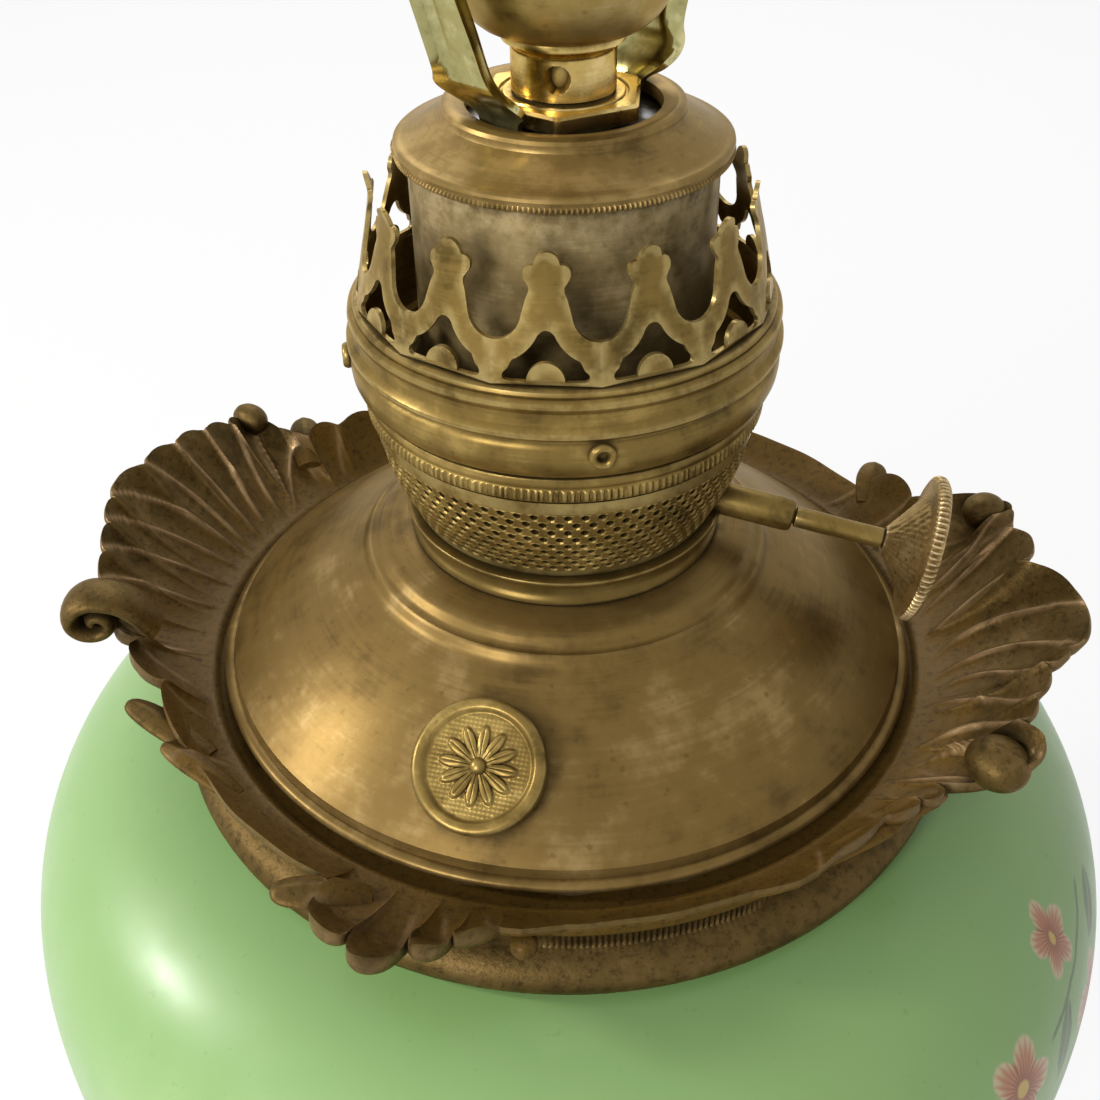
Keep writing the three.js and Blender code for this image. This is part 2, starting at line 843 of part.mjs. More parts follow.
// Directions at which the collar is cut: close together on the lobes, further apart between them
function collarDirections() {
  const dense = ornaments.flatMap(({ direction, halfSpan, lobeShares }) =>
    lobeShares.flatMap(([place, half]) =>
      Array.from({ length: collar.stepsPerLobe + 1 }, (_, i) => {
        const aside = (2 * i) / collar.stepsPerLobe - 1;
        return withinTurn(direction + halfSpan * (place + half * aside));
      }),
    ),
  );
  const sorted = dense.sort((a, b) => a - b);
  const directions = [];
  sorted.forEach((degrees, i) => {
    const next = i + 1 < sorted.length ? sorted[i + 1] : sorted[0] + fullTurn;
    if (next - degrees < collar.closestStepDegrees) return;
    const parts = Math.ceil((next - degrees) / collar.plainStepDegrees);
    for (let part = 0; part < parts; part++) directions.push(mix(degrees, next, part / parts));
  });
  return directions;
}

function sweepAround(section, directions) {
  const points = [];
  const triangles = [];
  const steps = directions.length;
  let count = 0;
  for (const degrees of directions) {
    const loop = section(degrees);
    count = loop.length;
    for (const [radius, level] of loop) {
      points.push(radius * Math.cos(turn(degrees)), radius * Math.sin(turn(degrees)), level);
    }
  }
  for (let i = 0; i < steps; i++) {
    for (let j = 0; j < count; j++) {
      const next = (i + 1) % steps;
      const along = (j + 1) % count;
      const corners = [i * count + j, next * count + j, next * count + along, i * count + along];
      triangles.push(corners[0], corners[1], corners[2], corners[0], corners[2], corners[3]);
    }
  }
  const geometry = new THREE.BufferGeometry();
  geometry.setAttribute("position", new THREE.Float32BufferAttribute(points, 3));
  geometry.setIndex(triangles);
  return outward(geometry);
}

piece("base", "collar", sweepAround(collarSection, collarDirections()), darkCasting);
const plasterRing = revolve(
  [
    [plasterInnerRadius, shoulderLevel(plasterInnerRadius) + seatGap],
    [collarWallRadius - seatGap, shoulderLevel(collarWallRadius) + seatGap],
    [collarWallRadius - seatGap, collar.ledgeLevel - collar.ledgeThickness * 1.5 - seatGap],
    [plasterInnerRadius, collar.ledgeLevel - collar.ledgeThickness - seatGap * 2],
  ],
  roundSteps.large,
);
piece("base", "plaster_ring", plasterRing, whitePlaster);

// Font dome: an arc from the rolled rim to the raised step
function domeLevel(radius, inset = 0) {
  const share = (domeRimRadius - radius) / (domeRimRadius - dome.stepRadius);
  return share * dome.stepLevel + 4 * dome.crown * share * (1 - share) - inset;
}

const domeSlope = Math.atan2(dome.stepLevel, domeRimRadius - dome.stepRadius);
const slantedSheet = sheet / Math.cos(domeSlope);

function domeArc(inset) {
  const start = domeRimRadius - dome.rimRoll;
  return Array.from({ length: dome.arcSteps + 1 }, (_, i) => {
    const radius = mix(start, dome.stepRadius, i / dome.arcSteps);
    return [radius - inset, domeLevel(radius, inset)];
  });
}

const domeBottom = -dome.rimRoll;
const domeProfile = [
  [domeRimRadius - dome.rimRoll * 1.6, domeBottom],
  [domeRimRadius - dome.rimRoll * 0.4, domeBottom],
  [domeRimRadius, domeBottom + dome.rimRoll * 0.8],
  [domeRimRadius - dome.rimRoll * 0.3, domeBottom + dome.rimRoll * 1.6],
  ...domeArc(0),
  [dome.stepRadius - dome.stepLip, dome.stepLevel + dome.stepLip * 2],
  [dome.crestRadius, dome.crestLevel],
  [neck.footRadius, dome.topLevel],
  [dome.openingRadius, dome.topLevel],
  [dome.openingRadius, dome.topLevel - sheet],
  [neck.footRadius, dome.topLevel - sheet],
  [dome.crestRadius - sheet, dome.crestLevel - sheet],
  [dome.stepRadius - dome.stepLip - sheet, dome.stepLevel],
  ...domeArc(slantedSheet).reverse(),
];
const fillerLevel = domeLevel(fillerOffset);
const fillerTilt = domeSlope;

// Places a solid built on the Z axis onto the filler's tilted seat
function onFiller(geometry) {
  const placed = geometry.clone().rotateY(fillerTilt).translate(fillerOffset, 0, fillerLevel);
  return outward(placed.rotateZ(turn(filler.direction)));
}

const fillerHole = onFiller(
  disc(filler.bushRadius + seatGap, -filler.capRadius, filler.capRadius, roundSteps.small),
);
piece("font", "font_dome", cut(revolve(domeProfile, roundSteps.large), fillerHole), agedBrass);

// Font bowl: hangs by its flange on the collar's ledge
const bowlRadius = collar.boreRadius - bowl.boreClearance;
const flangeRadius = domeRimRadius - bowl.flangeInset;
const flangeTop = domeBottom - seatGap;
const bowlBottom = flangeTop - bowl.depth;
const bowlCentre = [bowlRadius - bowl.corner, bowlBottom + bowl.corner];
const tubeHoleRadius = draftTube.radius + seatGap;
const bowlProfile = [
  [tubeHoleRadius, bowlBottom],
  ...arcPoints(bowlCentre, bowl.corner, -90, 0, bowl.cornerSteps),
  [bowlRadius, flangeTop - sheet],
  [flangeRadius, flangeTop - sheet],
  [flangeRadius, flangeTop],
  [bowlRadius - sheet, flangeTop],
  ...arcPoints(bowlCentre, bowl.corner - sheet, 0, -90, bowl.cornerSteps),
  [tubeHoleRadius, bowlBottom + sheet],
];
piece("font", "font_bowl", revolve(bowlProfile, roundSteps.medium), agedBrass);
const tubeProfile = [
  [draftTube.radius - draftTube.wall, bowlBottom - draftTube.lowerLip],
  [draftTube.radius + draftTube.lowerLip, bowlBottom - draftTube.lowerLip],
  [draftTube.radius + draftTube.lowerLip, bowlBottom - seatGap],
  [draftTube.radius, bowlBottom - seatGap],
  [draftTube.radius, draftTube.topLevel],
  [draftTube.radius - draftTube.wall, draftTube.topLevel],
];
piece("font", "draft_tube", revolve(tubeProfile, roundSteps.small), agedBrass);

// Filler: threaded bush, gasket and a cap with a raised rosette
const bushInner = filler.bushRadius - filler.bushWall;
const bushProfile = [
  [bushInner, -filler.bushDrop],
  [filler.bushRadius, -filler.bushDrop],
  [filler.bushRadius, seatGap],
  [filler.flangeRadius, seatGap],
  [filler.flangeRadius, seatGap + filler.flangeThickness],
  [filler.bushRadius, seatGap + filler.flangeThickness],
  [filler.bushRadius, filler.bushHeight + seatGap],
  [bushInner, filler.bushHeight + seatGap],
];
piece("font", "filler_bush", onFiller(revolve(bushProfile, roundSteps.small)), agedBrass);
const gasketBottom = filler.flangeThickness + seatGap * 2;
const gasketInner = filler.bushRadius + runningGap;
const capInner = filler.capRadius - filler.capWall;
const gasketTop = gasketBottom + filler.gasketThickness;
piece(
  "font",
  "filler_gasket",
  onFiller(ring(gasketInner, capInner - seatGap, gasketBottom, gasketTop, roundSteps.small)),
  corkRing,
);
const capRoof = filler.bushHeight + seatGap * 2;
const capTop = capRoof + filler.capWall;
const capFace = capTop - filler.capRecess;
const capProfile = [
  [0, capRoof - filler.capRecess],
  [bushInner - seatGap, capRoof - filler.capRecess],
  [bushInner - seatGap, capRoof],
  [capInner, capRoof],
  [capInner, gasketBottom],
  [filler.capRadius - filler.capWall / 2, gasketBottom],
  [filler.capRadius, gasketTop],
  [filler.capRadius - filler.capWall / 2, capRoof],
  [filler.capRadius, capTop],
  [filler.capRadius - filler.capRim, capTop + filler.capRecess],
  [filler.capRadius - filler.capRim * 2, capFace],
  [0, capFace],
];

function petal(index) {
  const tip = filler.petalLength + filler.budRadius;
  const wide = filler.petalWidth / 2;
  const outline = [
    [filler.budRadius / 2, 0],
    [tip - filler.petalWidth, -wide],
    [tip, -wide / 2],
    [tip, wide / 2],
    [tip - filler.petalWidth, wide],
  ];
  const raised = prism(outline, filler.petalRise * 2).translate(0, 0, capFace - filler.petalRise);
  return around(raised, (fullTurn / filler.petals) * index);
}

const petals = Array.from({ length: filler.petals }, (_, i) => petal(i));
const bud = revolve(
  [
    [0, capFace - filler.petalRise],
    [filler.budRadius, capFace - filler.petalRise],
    [filler.budRadius, capFace + filler.petalRise],
    [filler.budRadius / 2, capFace + filler.petalRise * 2.4],
    [0, capFace + filler.petalRise * 2.8],
  ],
  roundSteps.tiny,
);
const capBody = join(revolve(capProfile, roundSteps.small), bud, ...petals);
piece("font", "filler_cap", onFiller(capBody), burnerBrass);

// Burner neck: plugs into the dome and carries basket, wick tube and winder
const neckFoot = dome.topLevel + seatGap;
const plugRadius = dome.openingRadius - seatGap;
const wickHoleRadius = wickTube.radius + seatGap;
const neckProfile = [
  [wickHoleRadius, neckFoot - neck.plugDepth],
  [plugRadius, neckFoot - neck.plugDepth],
  [plugRadius, neckFoot],
  [neck.footRadius, neckFoot],
  [neck.topRadius, neck.topLevel - neck.ringThickness * 2],
  [neck.ringRadius, neck.topLevel - neck.ringThickness],
  [neck.ringRadius, neck.topLevel],
  [neck.topRadius - neck.wall * 2, neck.topLevel],
  [neck.topRadius - neck.wall * 2, neckFoot + neck.floorThickness],
  [wickHoleRadius, neckFoot + neck.floorThickness],
];
const housingHole = alongWinder(
  disc(
    winder.housingRadius + seatGap,
    winderRun(neck.topRadius - neck.wall * 3),
    winderRun(winder.housingEnd),
    roundSteps.small,
  ),
);
piece("burner", "burner_neck", cut(revolve(neckProfile, roundSteps.medium), housingHole), burnerBrass);
piece(
  "burner",
  "wick_tube",
  ring(
    wickTube.radius - wickTube.wall,
    wickTube.radius,
    wickTube.bottomLevel,
    wickTube.topLevel,
    roundSteps.small,
  ),
  burnerBrass,
);

// Air basket: a bulged sheet with staggered rows of air holes
const basketCurve = [
  [basket.bottomRadius, basket.bottomLevel],
  [basket.bulgeRadius, basket.bulgeLevel],
  [basket.bandRadius, basket.bandLevel],
];
const basketPanels = basket.holesPerRow / basket.holesPerPanel;
const panelHalf = (Math.PI * basket.bulgeRadius) / basketPanels;
const airHoles = [];
for (let row = 0; row < basket.holeRows; row++) {
  for (let index = 0; index < basket.holesPerPanel; index++) {
    const stagger = basket.staggerShares[row % 2];
    const across = mix(-panelHalf, panelHalf, (index + stagger) / basket.holesPerPanel);
    const level = basket.firstRowLevel + row * basket.rowPitch;
    airHoles.push(arcPoints([across, level], basket.holeWidth / 2, 0, fullTurn, 4).slice(0, 4));
  }
}
const sides = basketCurve.map(([, level]) => level);
const rightSeam = sides.map((level) => [panelHalf, level]);
const leftSeam = sides.map((level) => [-panelHalf, level]).reverse();
const basketSheet = piercedWall({
  outline: [...rightSeam, ...leftSeam],
  holes: airHoles,
  panels: basketPanels,
  thickness: basket.wall,
  profile: basketCurve,
  direction: 0,
});
piece("burner", "air_basket", cut(basketSheet, housingHole), burnerBrass);

// Milled band: closes the basket and carries the gallery
const bandBottom = basket.bandLevel + seatGap;
const bandOuter = basket.bandRadius + basket.bandOverhang;
const bandProfile = [
  [basket.bandRadius - basket.wall, bandBottom],
  [basket.bandRadius, bandBottom],
  [bandOuter, bandBottom + basket.bandOverhang],
  [bandOuter, basket.topLevel],
  [bandOuter - basket.rimLip, basket.topLevel],
  [bandOuter - basket.rimLip, basket.topLevel - basket.wall],
  [basket.bandRadius - basket.wall, basket.topLevel - basket.wall],
];
piece("burner", "milled_band", revolve(bandProfile, roundSteps.large), burnerBrass);

// Wick winder: housing, shaft with stem, toothed pinion and thumbwheel on one slanting axis
const housingInner = winder.shaftRadius + runningGap;
const housingProfile = [
  [housingInner, winderRun(winder.housingStart)],
  [winder.housingRadius, winderRun(winder.housingStart)],
  [winder.housingRadius, winderRun(winder.housingEnd) - winder.housingLip],
  [winder.housingRadius - winder.housingLip, winderRun(winder.housingEnd)],
  [housingInner, winderRun(winder.housingEnd)],
];
piece("burner", "winder_housing", alongWinder(revolve(housingProfile, roundSteps.small)), burnerBrass);
const housingEndRun = winderRun(winder.housingEnd);
const wheelRun = winderRun(winder.wheelOffset);
const wheelBottom = wheelRun - winder.wheelThickness / 2;
const wheelTop = wheelRun + winder.wheelThickness / 2;
const hubBottom = wheelBottom - winder.hubLength;
const shaftProfile = [
  [0, winderRun(winder.shaftStart)],
  [winder.shaftRadius, winderRun(winder.shaftStart)],
  [winder.shaftRadius, housingEndRun + runningGap],
  [winder.stemRadius, housingEndRun + runningGap],
  [winder.stemRadius, hubBottom - seatGap],
  [winder.shaftRadius, hubBottom - seatGap],
  [winder.shaftRadius, wheelTop + winder.wheelThickness / 2],
  [0, wheelTop + winder.wheelThickness / 2],
];
piece("burner", "winder_shaft", alongWinder(revolve(shaftProfile, roundSteps.tiny)), burnerBrass);

function toothed(radius, depth, teeth, bottom, top) {
  const outline = Array.from({ length: teeth * 2 }, (_, i) => {
    const angle = (Math.PI * i) / teeth;
    const reach = radius - (i % 2) * depth;
    return [reach * Math.cos(angle), reach * Math.sin(angle)];
  });
  return prism(outline, top - bottom).translate(0, 0, bottom);
}

const shaftBore = disc(
  winder.shaftRadius + seatGap,
  -winderRun(winder.wheelRadius),
  wheelRun * 2,
  roundSteps.tiny,
);
const pinionStart = winderRun(winder.shaftStart) + seatGap;
const pinion = toothed(
  winder.pinionRadius,
  winder.toothDepth,
  winder.pinionTeeth,
  pinionStart,
  pinionStart + winder.pinionLength,
);
piece("burner", "wick_pinion", alongWinder(cut(pinion, shaftBore)), burnerBrass);
const wheelRim = toothed(winder.wheelRadius, winder.knurlDepth, winder.wheelKnurls, wheelBottom, wheelTop);
const hubProfile = [
  [0, hubBottom],
  [winder.hubTipRadius, hubBottom],
  [winder.hubRadius, wheelBottom],
  [winder.hubRadius, wheelRun],
  [0, wheelRun],
];
const dishRadius = winder.wheelRadius * winder.dishShare;
const wheelDish = disc(dishRadius, wheelTop - winder.knurlDepth, wheelTop * 2, roundSteps.small);
const hubSolid = revolve(hubProfile, roundSteps.small);
piece("burner", "thumbwheel", alongWinder(cut(join(wheelRim, hubSolid), shaftBore, wheelDish)), agedBrass);

// Gallery: rolled ring with an inner floor on which the adapter sleeve stands
const galleryFloor = gallery.bottomLevel + gallery.floorThickness;
const galleryProfile = [
  [gallery.floorRadius, gallery.bottomLevel],
  [gallery.bottomRadius, gallery.bottomLevel],
  [gallery.bellyRadius, gallery.bellyLevel],
  [gallery.bellyRadius, gallery.crestLevel - gallery.grooveDepth * 2],
  [gallery.bellyRadius - gallery.grooveDepth, gallery.crestLevel - gallery.grooveDepth],
  [gallery.crestRadius, gallery.crestLevel],
  [gallery.hollowRadius, gallery.hollowLevel],
  [gallery.beadRadius, gallery.beadLevel],
  [gallery.neckRadius, gallery.neckLevel],
  [gallery.neckRadius - gallery.wall * 1.5, gallery.neckLevel],
  [gallery.hollowRadius - gallery.wall * 1.5, gallery.beadLevel - gallery.wall],
  [gallery.crestRadius - gallery.wall * 2, gallery.crestLevel],
  [gallery.bellyRadius - gallery.wall, gallery.bellyLevel],
  [gallery.bottomRadius - gallery.wall, galleryFloor],
  [gallery.floorRadius, galleryFloor],
];
piece("gallery", "gallery_ring", revolve(galleryProfile, roundSteps.large), burnerBrass);
const rivetNames = ["front", "right", "back", "left"];
rivetNames.forEach((side, index) => {
  const seat = gallery.bellyRadius + seatGap;
  const head = revolve(
    [
      [rivet.boreRadius, 0],
      [rivet.radius, 0],
      [rivet.radius - rivet.headThickness / 2, rivet.headThickness],
      [rivet.boreRadius, rivet.headThickness],
    ],
    roundSteps.tiny,
  );
  head.rotateY(Math.PI / 2).translate(seat, 0, rivet.level);
  const direction = rivet.direction + (fullTurn / rivet.count) * index;
  piece("gallery", "gallery_rivet_" + side, around(head, direction), burnerBrass);
});

// Coronet: a leaning sheet with a U-shaped gap between prongs and an arch with a tab under each prong
const coronetFoot = gallery.neckLevel + seatGap;
const coronetCurve = [
  [coronet.shoulderRadius, coronetFoot],
  [coronet.leanRadius, coronet.leanLevel],
  [coronet.tipRadius, coronetFoot + coronet.height],
];
const gapHalf = (Math.PI * coronet.shoulderRadius) / coronet.prongs;

// Completes a half outline, drawn on the right of the middle line, with its mirror image
function mirrored(half) {
  const left = half.map(([x, y]) => [-x, y]).reverse();
  return [...half, ...left.filter(([x]) => x !== 0)];
}

function overFoot(points) {
  return points.map(([across, rise]) => [across, coronetFoot + rise]);
}

const valleyCentre = [gapHalf, coronet.valleyRise + coronet.valleyRadius];
const lobeCentre = [0, coronet.height - coronet.lobeRadius];
const prongHalf = [
  [gapHalf, 0],
  ...arcPoints(valleyCentre, coronet.valleyRadius, 270, 180, 4),
  [coronet.waistHalfWidth, coronet.waistRise],
  ...arcPoints([coronet.earCentre, coronet.earRise], coronet.earRadius, -90, 90, 3),
  ...arcPoints(lobeCentre, coronet.lobeRadius, 0, 90, 2),
];
prongHalf[prongHalf.length - 1][0] = 0;
const archHalf = [
  ...arcPoints([0, coronet.tabRise], coronet.tabRadius, 90, 0, 3),
  [coronet.archCorner, coronet.tabRise],
  [coronet.archCorner, coronet.archCornerRise],
  ...arcPoints(valleyCentre, coronet.valleyRadius + coronet.ribbonWidth, 248, 216, 2),
  [0, coronet.archRise],
];
archHalf[0][0] = 0;
const coronetSheet = piercedWall({
  outline: overFoot([...mirrored(prongHalf.slice(1)), [-gapHalf, 0], [gapHalf, 0]]),
  holes: [overFoot([...archHalf, ...mirrored(archHalf).slice(archHalf.length)])],
  panels: coronet.prongs,
  thickness: coronet.wall,
  profile: coronetCurve,
  direction: coronet.firstDirection,
});
piece("gallery", "coronet", coronetSheet, burnerBrass);

// Adapter: a sleeve that stands in the gallery, and a spun cap on top of it
const sleeveBottom = galleryFloor + seatGap;
const sleeveInner = sleeve.radius - sleeve.wall;
const sleeveProfile = [
  [sleeveInner + sleeve.flare, sleeveBottom],
  [sleeve.radius + sleeve.flare, sleeveBottom],
  [sleeve.radius, sleeveBottom + sleeve.flareRise],
  [sleeve.radius, sleeve.topLevel],
  [sleeve.radius - sleeve.hem, sleeve.topLevel],
  [sleeve.radius - sleeve.hem, sleeve.topLevel - sleeve.wall],
  [sleeveInner, sleeve.topLevel - sleeve.wall],
  [sleeveInner, sleeveBottom + sleeve.flareRise],
];
piece("adapter", "adapter_sleeve", revolve(sleeveProfile, roundSteps.medium), tarnishedSleeve);
const capBottom = cap.rimLevel - cap.skirtDrop;
const capLipLevel = cap.shoulderLevel + cap.lipRise;
const adapterCapProfile = [
  [cap.holeRadius, capLipLevel - cap.wall * 2.4],
  [cap.shoulderRadius, cap.shoulderLevel - cap.wall * 1.2],
  [sleeve.radius, sleeve.topLevel + seatGap],
  [sleeve.radius + seatGap, capBottom],
  [cap.rimRadius - cap.rimBead / 2, capBottom],
  [cap.rimRadius, cap.rimLevel - cap.rimBead],
  [cap.rimRadius, cap.rimLevel],
  [cap.rimRadius - cap.rimBead, cap.rimLevel + cap.rimBead / 3],
  [cap.shoulderRadius + cap.lipRise / 2, cap.shoulderLevel - cap.lipRise / 5],
  [cap.shoulderRadius, cap.shoulderLevel + cap.lipRise / 2],
  [cap.shoulderRadius - cap.lipRise, capLipLevel],
  [cap.holeRadius, capLipLevel - cap.lipRise / 5],
];
piece("adapter", "adapter_cap", revolve(adapterCapProfile, roundSteps.large), agedBrass);

// Stack on the threaded nipple: locknut, washer, saddle strap, hexagonal plate, socket
const plateBottom = hexPlate.topLevel - hexPlate.thickness;
const stripTop = plateBottom - seatGap;
const stripBottom = stripTop - saddle.stripThickness;
const washerTop = stripBottom - seatGap;
const washerBottom = washerTop - lowerWasher.thickness;
const nutBottom = washerBottom - seatGap - pipeNut.thickness;
piece(
  "adapter",
  "lower_washer",
  ring(pipeBore, lowerWasher.radius, washerBottom, washerTop, roundSteps.small),
  plainSteel,
);
piece("adapter", "lower_locknut", hexNut(nutBottom, pipeNut.thickness, pipeBore), plainSteel);
piece(
  "adapter",
  "lamp_nipple",
  ring(pipe.boreRadius, pipe.radius, nipple.bottomLevel, nipple.topLevel, roundSteps.tiny),
  plainSteel,
);
const plateBody = polygonPrism(6, hexPlate.cornerRadius, plateBottom, hexPlate.topLevel, hexPlate.direction);
const plateGroove = ring(
  hexPlate.bossRadius,
  hexPlate.bossRadius + hexPlate.groove,
  hexPlate.topLevel - hexPlate.groove,
  hexPlate.topLevel + hexPlate.groove,
  roundSteps.small,
);
const plateBore = disc(pipeBore, plateBottom - hexPlate.thickness, hexPlate.topLevel * 2, roundSteps.tiny);
piece("adapter", "hex_plate", cut(plateBody, plateGroove, plateBore), polishedBrass);

// Harp saddle: a strap under the plate whose two arms rise as shallow channels
function strapSection(halfWidth, flange) {
  const thin = saddle.stripThickness;
  return [
    [-halfWidth, 0],
    [halfWidth, 0],
    [halfWidth, flange + thin],
    [halfWidth - thin, flange + thin],
    [halfWidth - thin, thin],
    [thin - halfWidth, thin],
    [thin - halfWidth, flange + thin],
    [-halfWidth, flange + thin],
  ];
}

// Stations along an arm: offset and level of the strap's inner face, its half width, flange and lean
function saddleArm() {
  const thin = saddle.stripThickness;
  const strip = { half: saddle.stripHalfWidth, flange: saddle.stripLip };
  const stations = [
    { at: [pipeBore + thin, stripBottom], ...strip, lean: 90 },
    { at: [saddle.elbowOffset - thin, stripBottom], ...strip, lean: 90 },
    { at: [saddle.elbowOffset, plateBottom], ...strip, lean: 10 },
    { at: [saddle.elbowOffset, hexPlate.topLevel], ...strip, lean: 25 },
    {
      at: [saddle.shoulderOffset - thin, saddle.shoulderLevel],
      half: saddle.shoulderHalfWidth,
      flange: saddle.stripLip,
      lean: 45,
    },
    {
      at: [saddle.armOffset, saddle.armFootLevel],
      half: saddle.armHalfWidth,
      flange: saddle.flangeDepth,
      lean: 10,
    },
    {
      at: [saddle.armTopOffset, saddle.armTopLevel],
      half: saddle.armHalfWidth - thin,
      flange: saddle.flangeDepth,
      lean: 15,
    },
  ];
  const points = [];
  const triangles = [];
  for (const station of stations) {
    const lean = turn(station.lean);
    for (const [across, out] of strapSection(station.half, station.flange)) {
      points.push(
        station.at[0] + out * Math.cos(lean),
        across,
        station.at[1] - out * Math.sin(lean) + (station.lean === 90 ? thin : 0),
      );
    }
  }
  const count = strapSection(1, 0).length;
  for (let i = 0; i + 1 < stations.length; i++) {
    for (let j = 0; j < count; j++) {
      const along = (j + 1) % count;
      const corners = [i * count + j, i * count + along, (i + 1) * count + along, (i + 1) * count + j];
      triangles.push(corners[0], corners[1], corners[2], corners[0], corners[2], corners[3]);
    }
  }
  const capFaces = [[0, 1, 4], [1, 2, 3], [1, 3, 4], [0, 4, 5], [0, 5, 6], [0, 6, 7]];
  const endStart = (stations.length - 1) * count;
  for (const [a, b, c] of capFaces) {
    triangles.push(a, c, b);
    triangles.push(endStart + a, endStart + b, endStart + c);
  }
  const geometry = new THREE.BufferGeometry();
  geometry.setAttribute("position", new THREE.Float32BufferAttribute(points, 3));
  geometry.setIndex(triangles);
  return outward(geometry);
}

const saddleEye = cut(
  disc(saddle.eyeRadius, stripBottom, stripTop, roundSteps.small),
  disc(pipeBore, stripBottom - stripTop, stripTop * 2, roundSteps.tiny),
);
const postOffset = saddle.armTopOffset + saddle.postRadius;
const postTop = saddle.armTopLevel + saddle.postRise;
const post = disc(saddle.postRadius, saddle.armTopLevel - saddle.postDrop, postTop, roundSteps.tiny);
post.translate(postOffset, 0, 0);
const arm = join(saddleArm(), post);
const saddleBody = join(around(arm, harpDirection), around(arm, harpDirection + halfTurn), saddleEye);
piece("adapter", "harp_saddle", saddleBody, polishedBrass);

// Harp: one wire loop that stands on the saddle's posts, with a flat eye and stud at its crown
const legBottom = postTop + seatGap;
const eyeBottom = harp.topLevel - harp.eyeThickness / 2;
const halfLoop = [
  [postOffset, legBottom],
  [postOffset, legBottom + ferrule.length * 2],
  [harp.bulgeOffset, harp.bulgeLevel],
  [harp.crownOffset, harp.topLevel - harp.wireRadius * 3],
];
const otherHalf = halfLoop.map(([offset, level]) => [-offset, level]).reverse();
const loopPoints = [...halfLoop, [0, harp.topLevel], ...otherHalf];
const loopVectors = loopPoints.map(([offset, level]) => new THREE.Vector3(offset, 0, level));
const loopPath = new THREE.CatmullRomCurve3(loopVectors);
const wireSection = new THREE.Shape().absarc(0, 0, harp.wireRadius, 0, Math.PI * 2);
const wireOptions = { steps: harp.steps, extrudePath: loopPath, curveSegments: 5, bevelEnabled: false };
const wire = outward(new THREE.ExtrudeGeometry(wireSection, wireOptions));
const eyeTop = eyeBottom + harp.eyeThickness;
const studTop = eyeTop + harp.studHeight;
const crownEye = disc(harp.eyeRadius, eyeBottom, eyeTop, roundSteps.small);
const crownStud = disc(harp.studRadius, eyeBottom, studTop, roundSteps.tiny);
piece("harp", "harp", around(join(wire, crownEye, crownStud), harpDirection), polishedBrass);
const ferruleBottom = saddle.armTopLevel + seatGap * 2;
["back", "front"].forEach((side, index) => {
  const inner = saddle.postRadius + runningGap;
  const ferruleTop = ferruleBottom + ferrule.length;
  const sleeveBody = ring(inner, inner + ferrule.wall, ferruleBottom, ferruleTop, roundSteps.tiny);
  sleeveBody.translate(postOffset, 0, 0);
  piece("harp", "harp_ferrule_" + side, around(sleeveBody, harpDirection + halfTurn * index), polishedBrass);
});
const discBottom = eyeTop + seatGap;
const discTop = discBottom + finial.discThickness;
const studBore = harp.studRadius + runningGap;
const shadeWasher = ring(studBore, finial.discRadius, discBottom, discTop, roundSteps.small);
piece("harp", "shade_washer", shadeWasher, polishedBrass);
const finialBottom = discTop + seatGap;
const finialTop = finialBottom + finial.height;
const knobLevels = finial.knobShares.map((share) => mix(finialBottom, finialTop, share));
const finialProfile = [
  [studBore, finialBottom],
  [finial.discRadius, finialBottom],
  [finial.discRadius, finialBottom + finial.discThickness],
  [finial.waistRadius, finialBottom + finial.discThickness * 3],
  [finial.radius, knobLevels[0]],
  [finial.radius, knobLevels[1]],
  [finial.waistRadius, knobLevels[2]],
  [0, finialTop],
  [0, studTop + seatGap],
  [studBore, studTop + seatGap],
];
piece("harp", "finial", revolve(finialProfile, roundSteps.small), polishedBrass);

// Lamp socket: cap, shell, paper liner, moulded body, screw shell, contact and turn switch
const neckTop = socket.neckLevel + socket.neckHeight;
const bellBottom = neckTop + socket.ringHeight;
const bellTop = bellBottom + socket.bellHeight;
const socketCapTop = bellTop + socket.seamHeight;
const bellShares = [0.25, 0.5, 0.75, 1];
const bellCurve = (inset) =>
  bellShares.map((share) => [
    mix(socket.ringRadius, socket.bellRadius, Math.sin((share * Math.PI) / 2)) - inset,
    mix(bellBottom, bellTop, 1 - Math.cos((share * Math.PI) / 2)) + (share < 1 ? inset : 0),
  ]);
const socketCapOuter = [
  [socket.neckRadius, socket.neckLevel],
  [socket.neckRadius, neckTop],
  [socket.ringRadius, neckTop + socket.wall],
  [socket.ringRadius, bellBottom],
  ...bellCurve(0),
  [socket.bellRadius, socketCapTop],
];
const socketCapInner = [
  [socket.bellRadius - socket.wall, socketCapTop],
  ...bellCurve(socket.wall).reverse(),
  [pipeBore, bellBottom + socket.wall],
  [pipeBore, socket.neckLevel],
];
const screwTop = socket.neckLevel + socket.screwHoleRise;
const holeStart = pipeBore - socket.wall;
const screwHole = disc(socket.screwHoleRadius, holeStart, socket.ringRadius * 2, roundSteps.tiny);
screwHole.rotateY(Math.PI / 2).translate(0, 0, screwTop);
const socketCapBody = revolve([...socketCapOuter, ...socketCapInner], roundSteps.medium);
const setScrewHole = around(screwHole, socket.screwHoleDirection);
piece("socket", "socket_cap", cut(socketCapBody, setScrewHole), polishedBrass);

// The key's stem runs along a radius; these tools open its way through the walls round it
function keyTool(radius, from, to) {
  const tool = disc(radius, from, to, roundSteps.tiny).rotateY(Math.PI / 2);
  return around(tool.translate(0, 0, socket.keyLevel), socket.keyDirection);
}

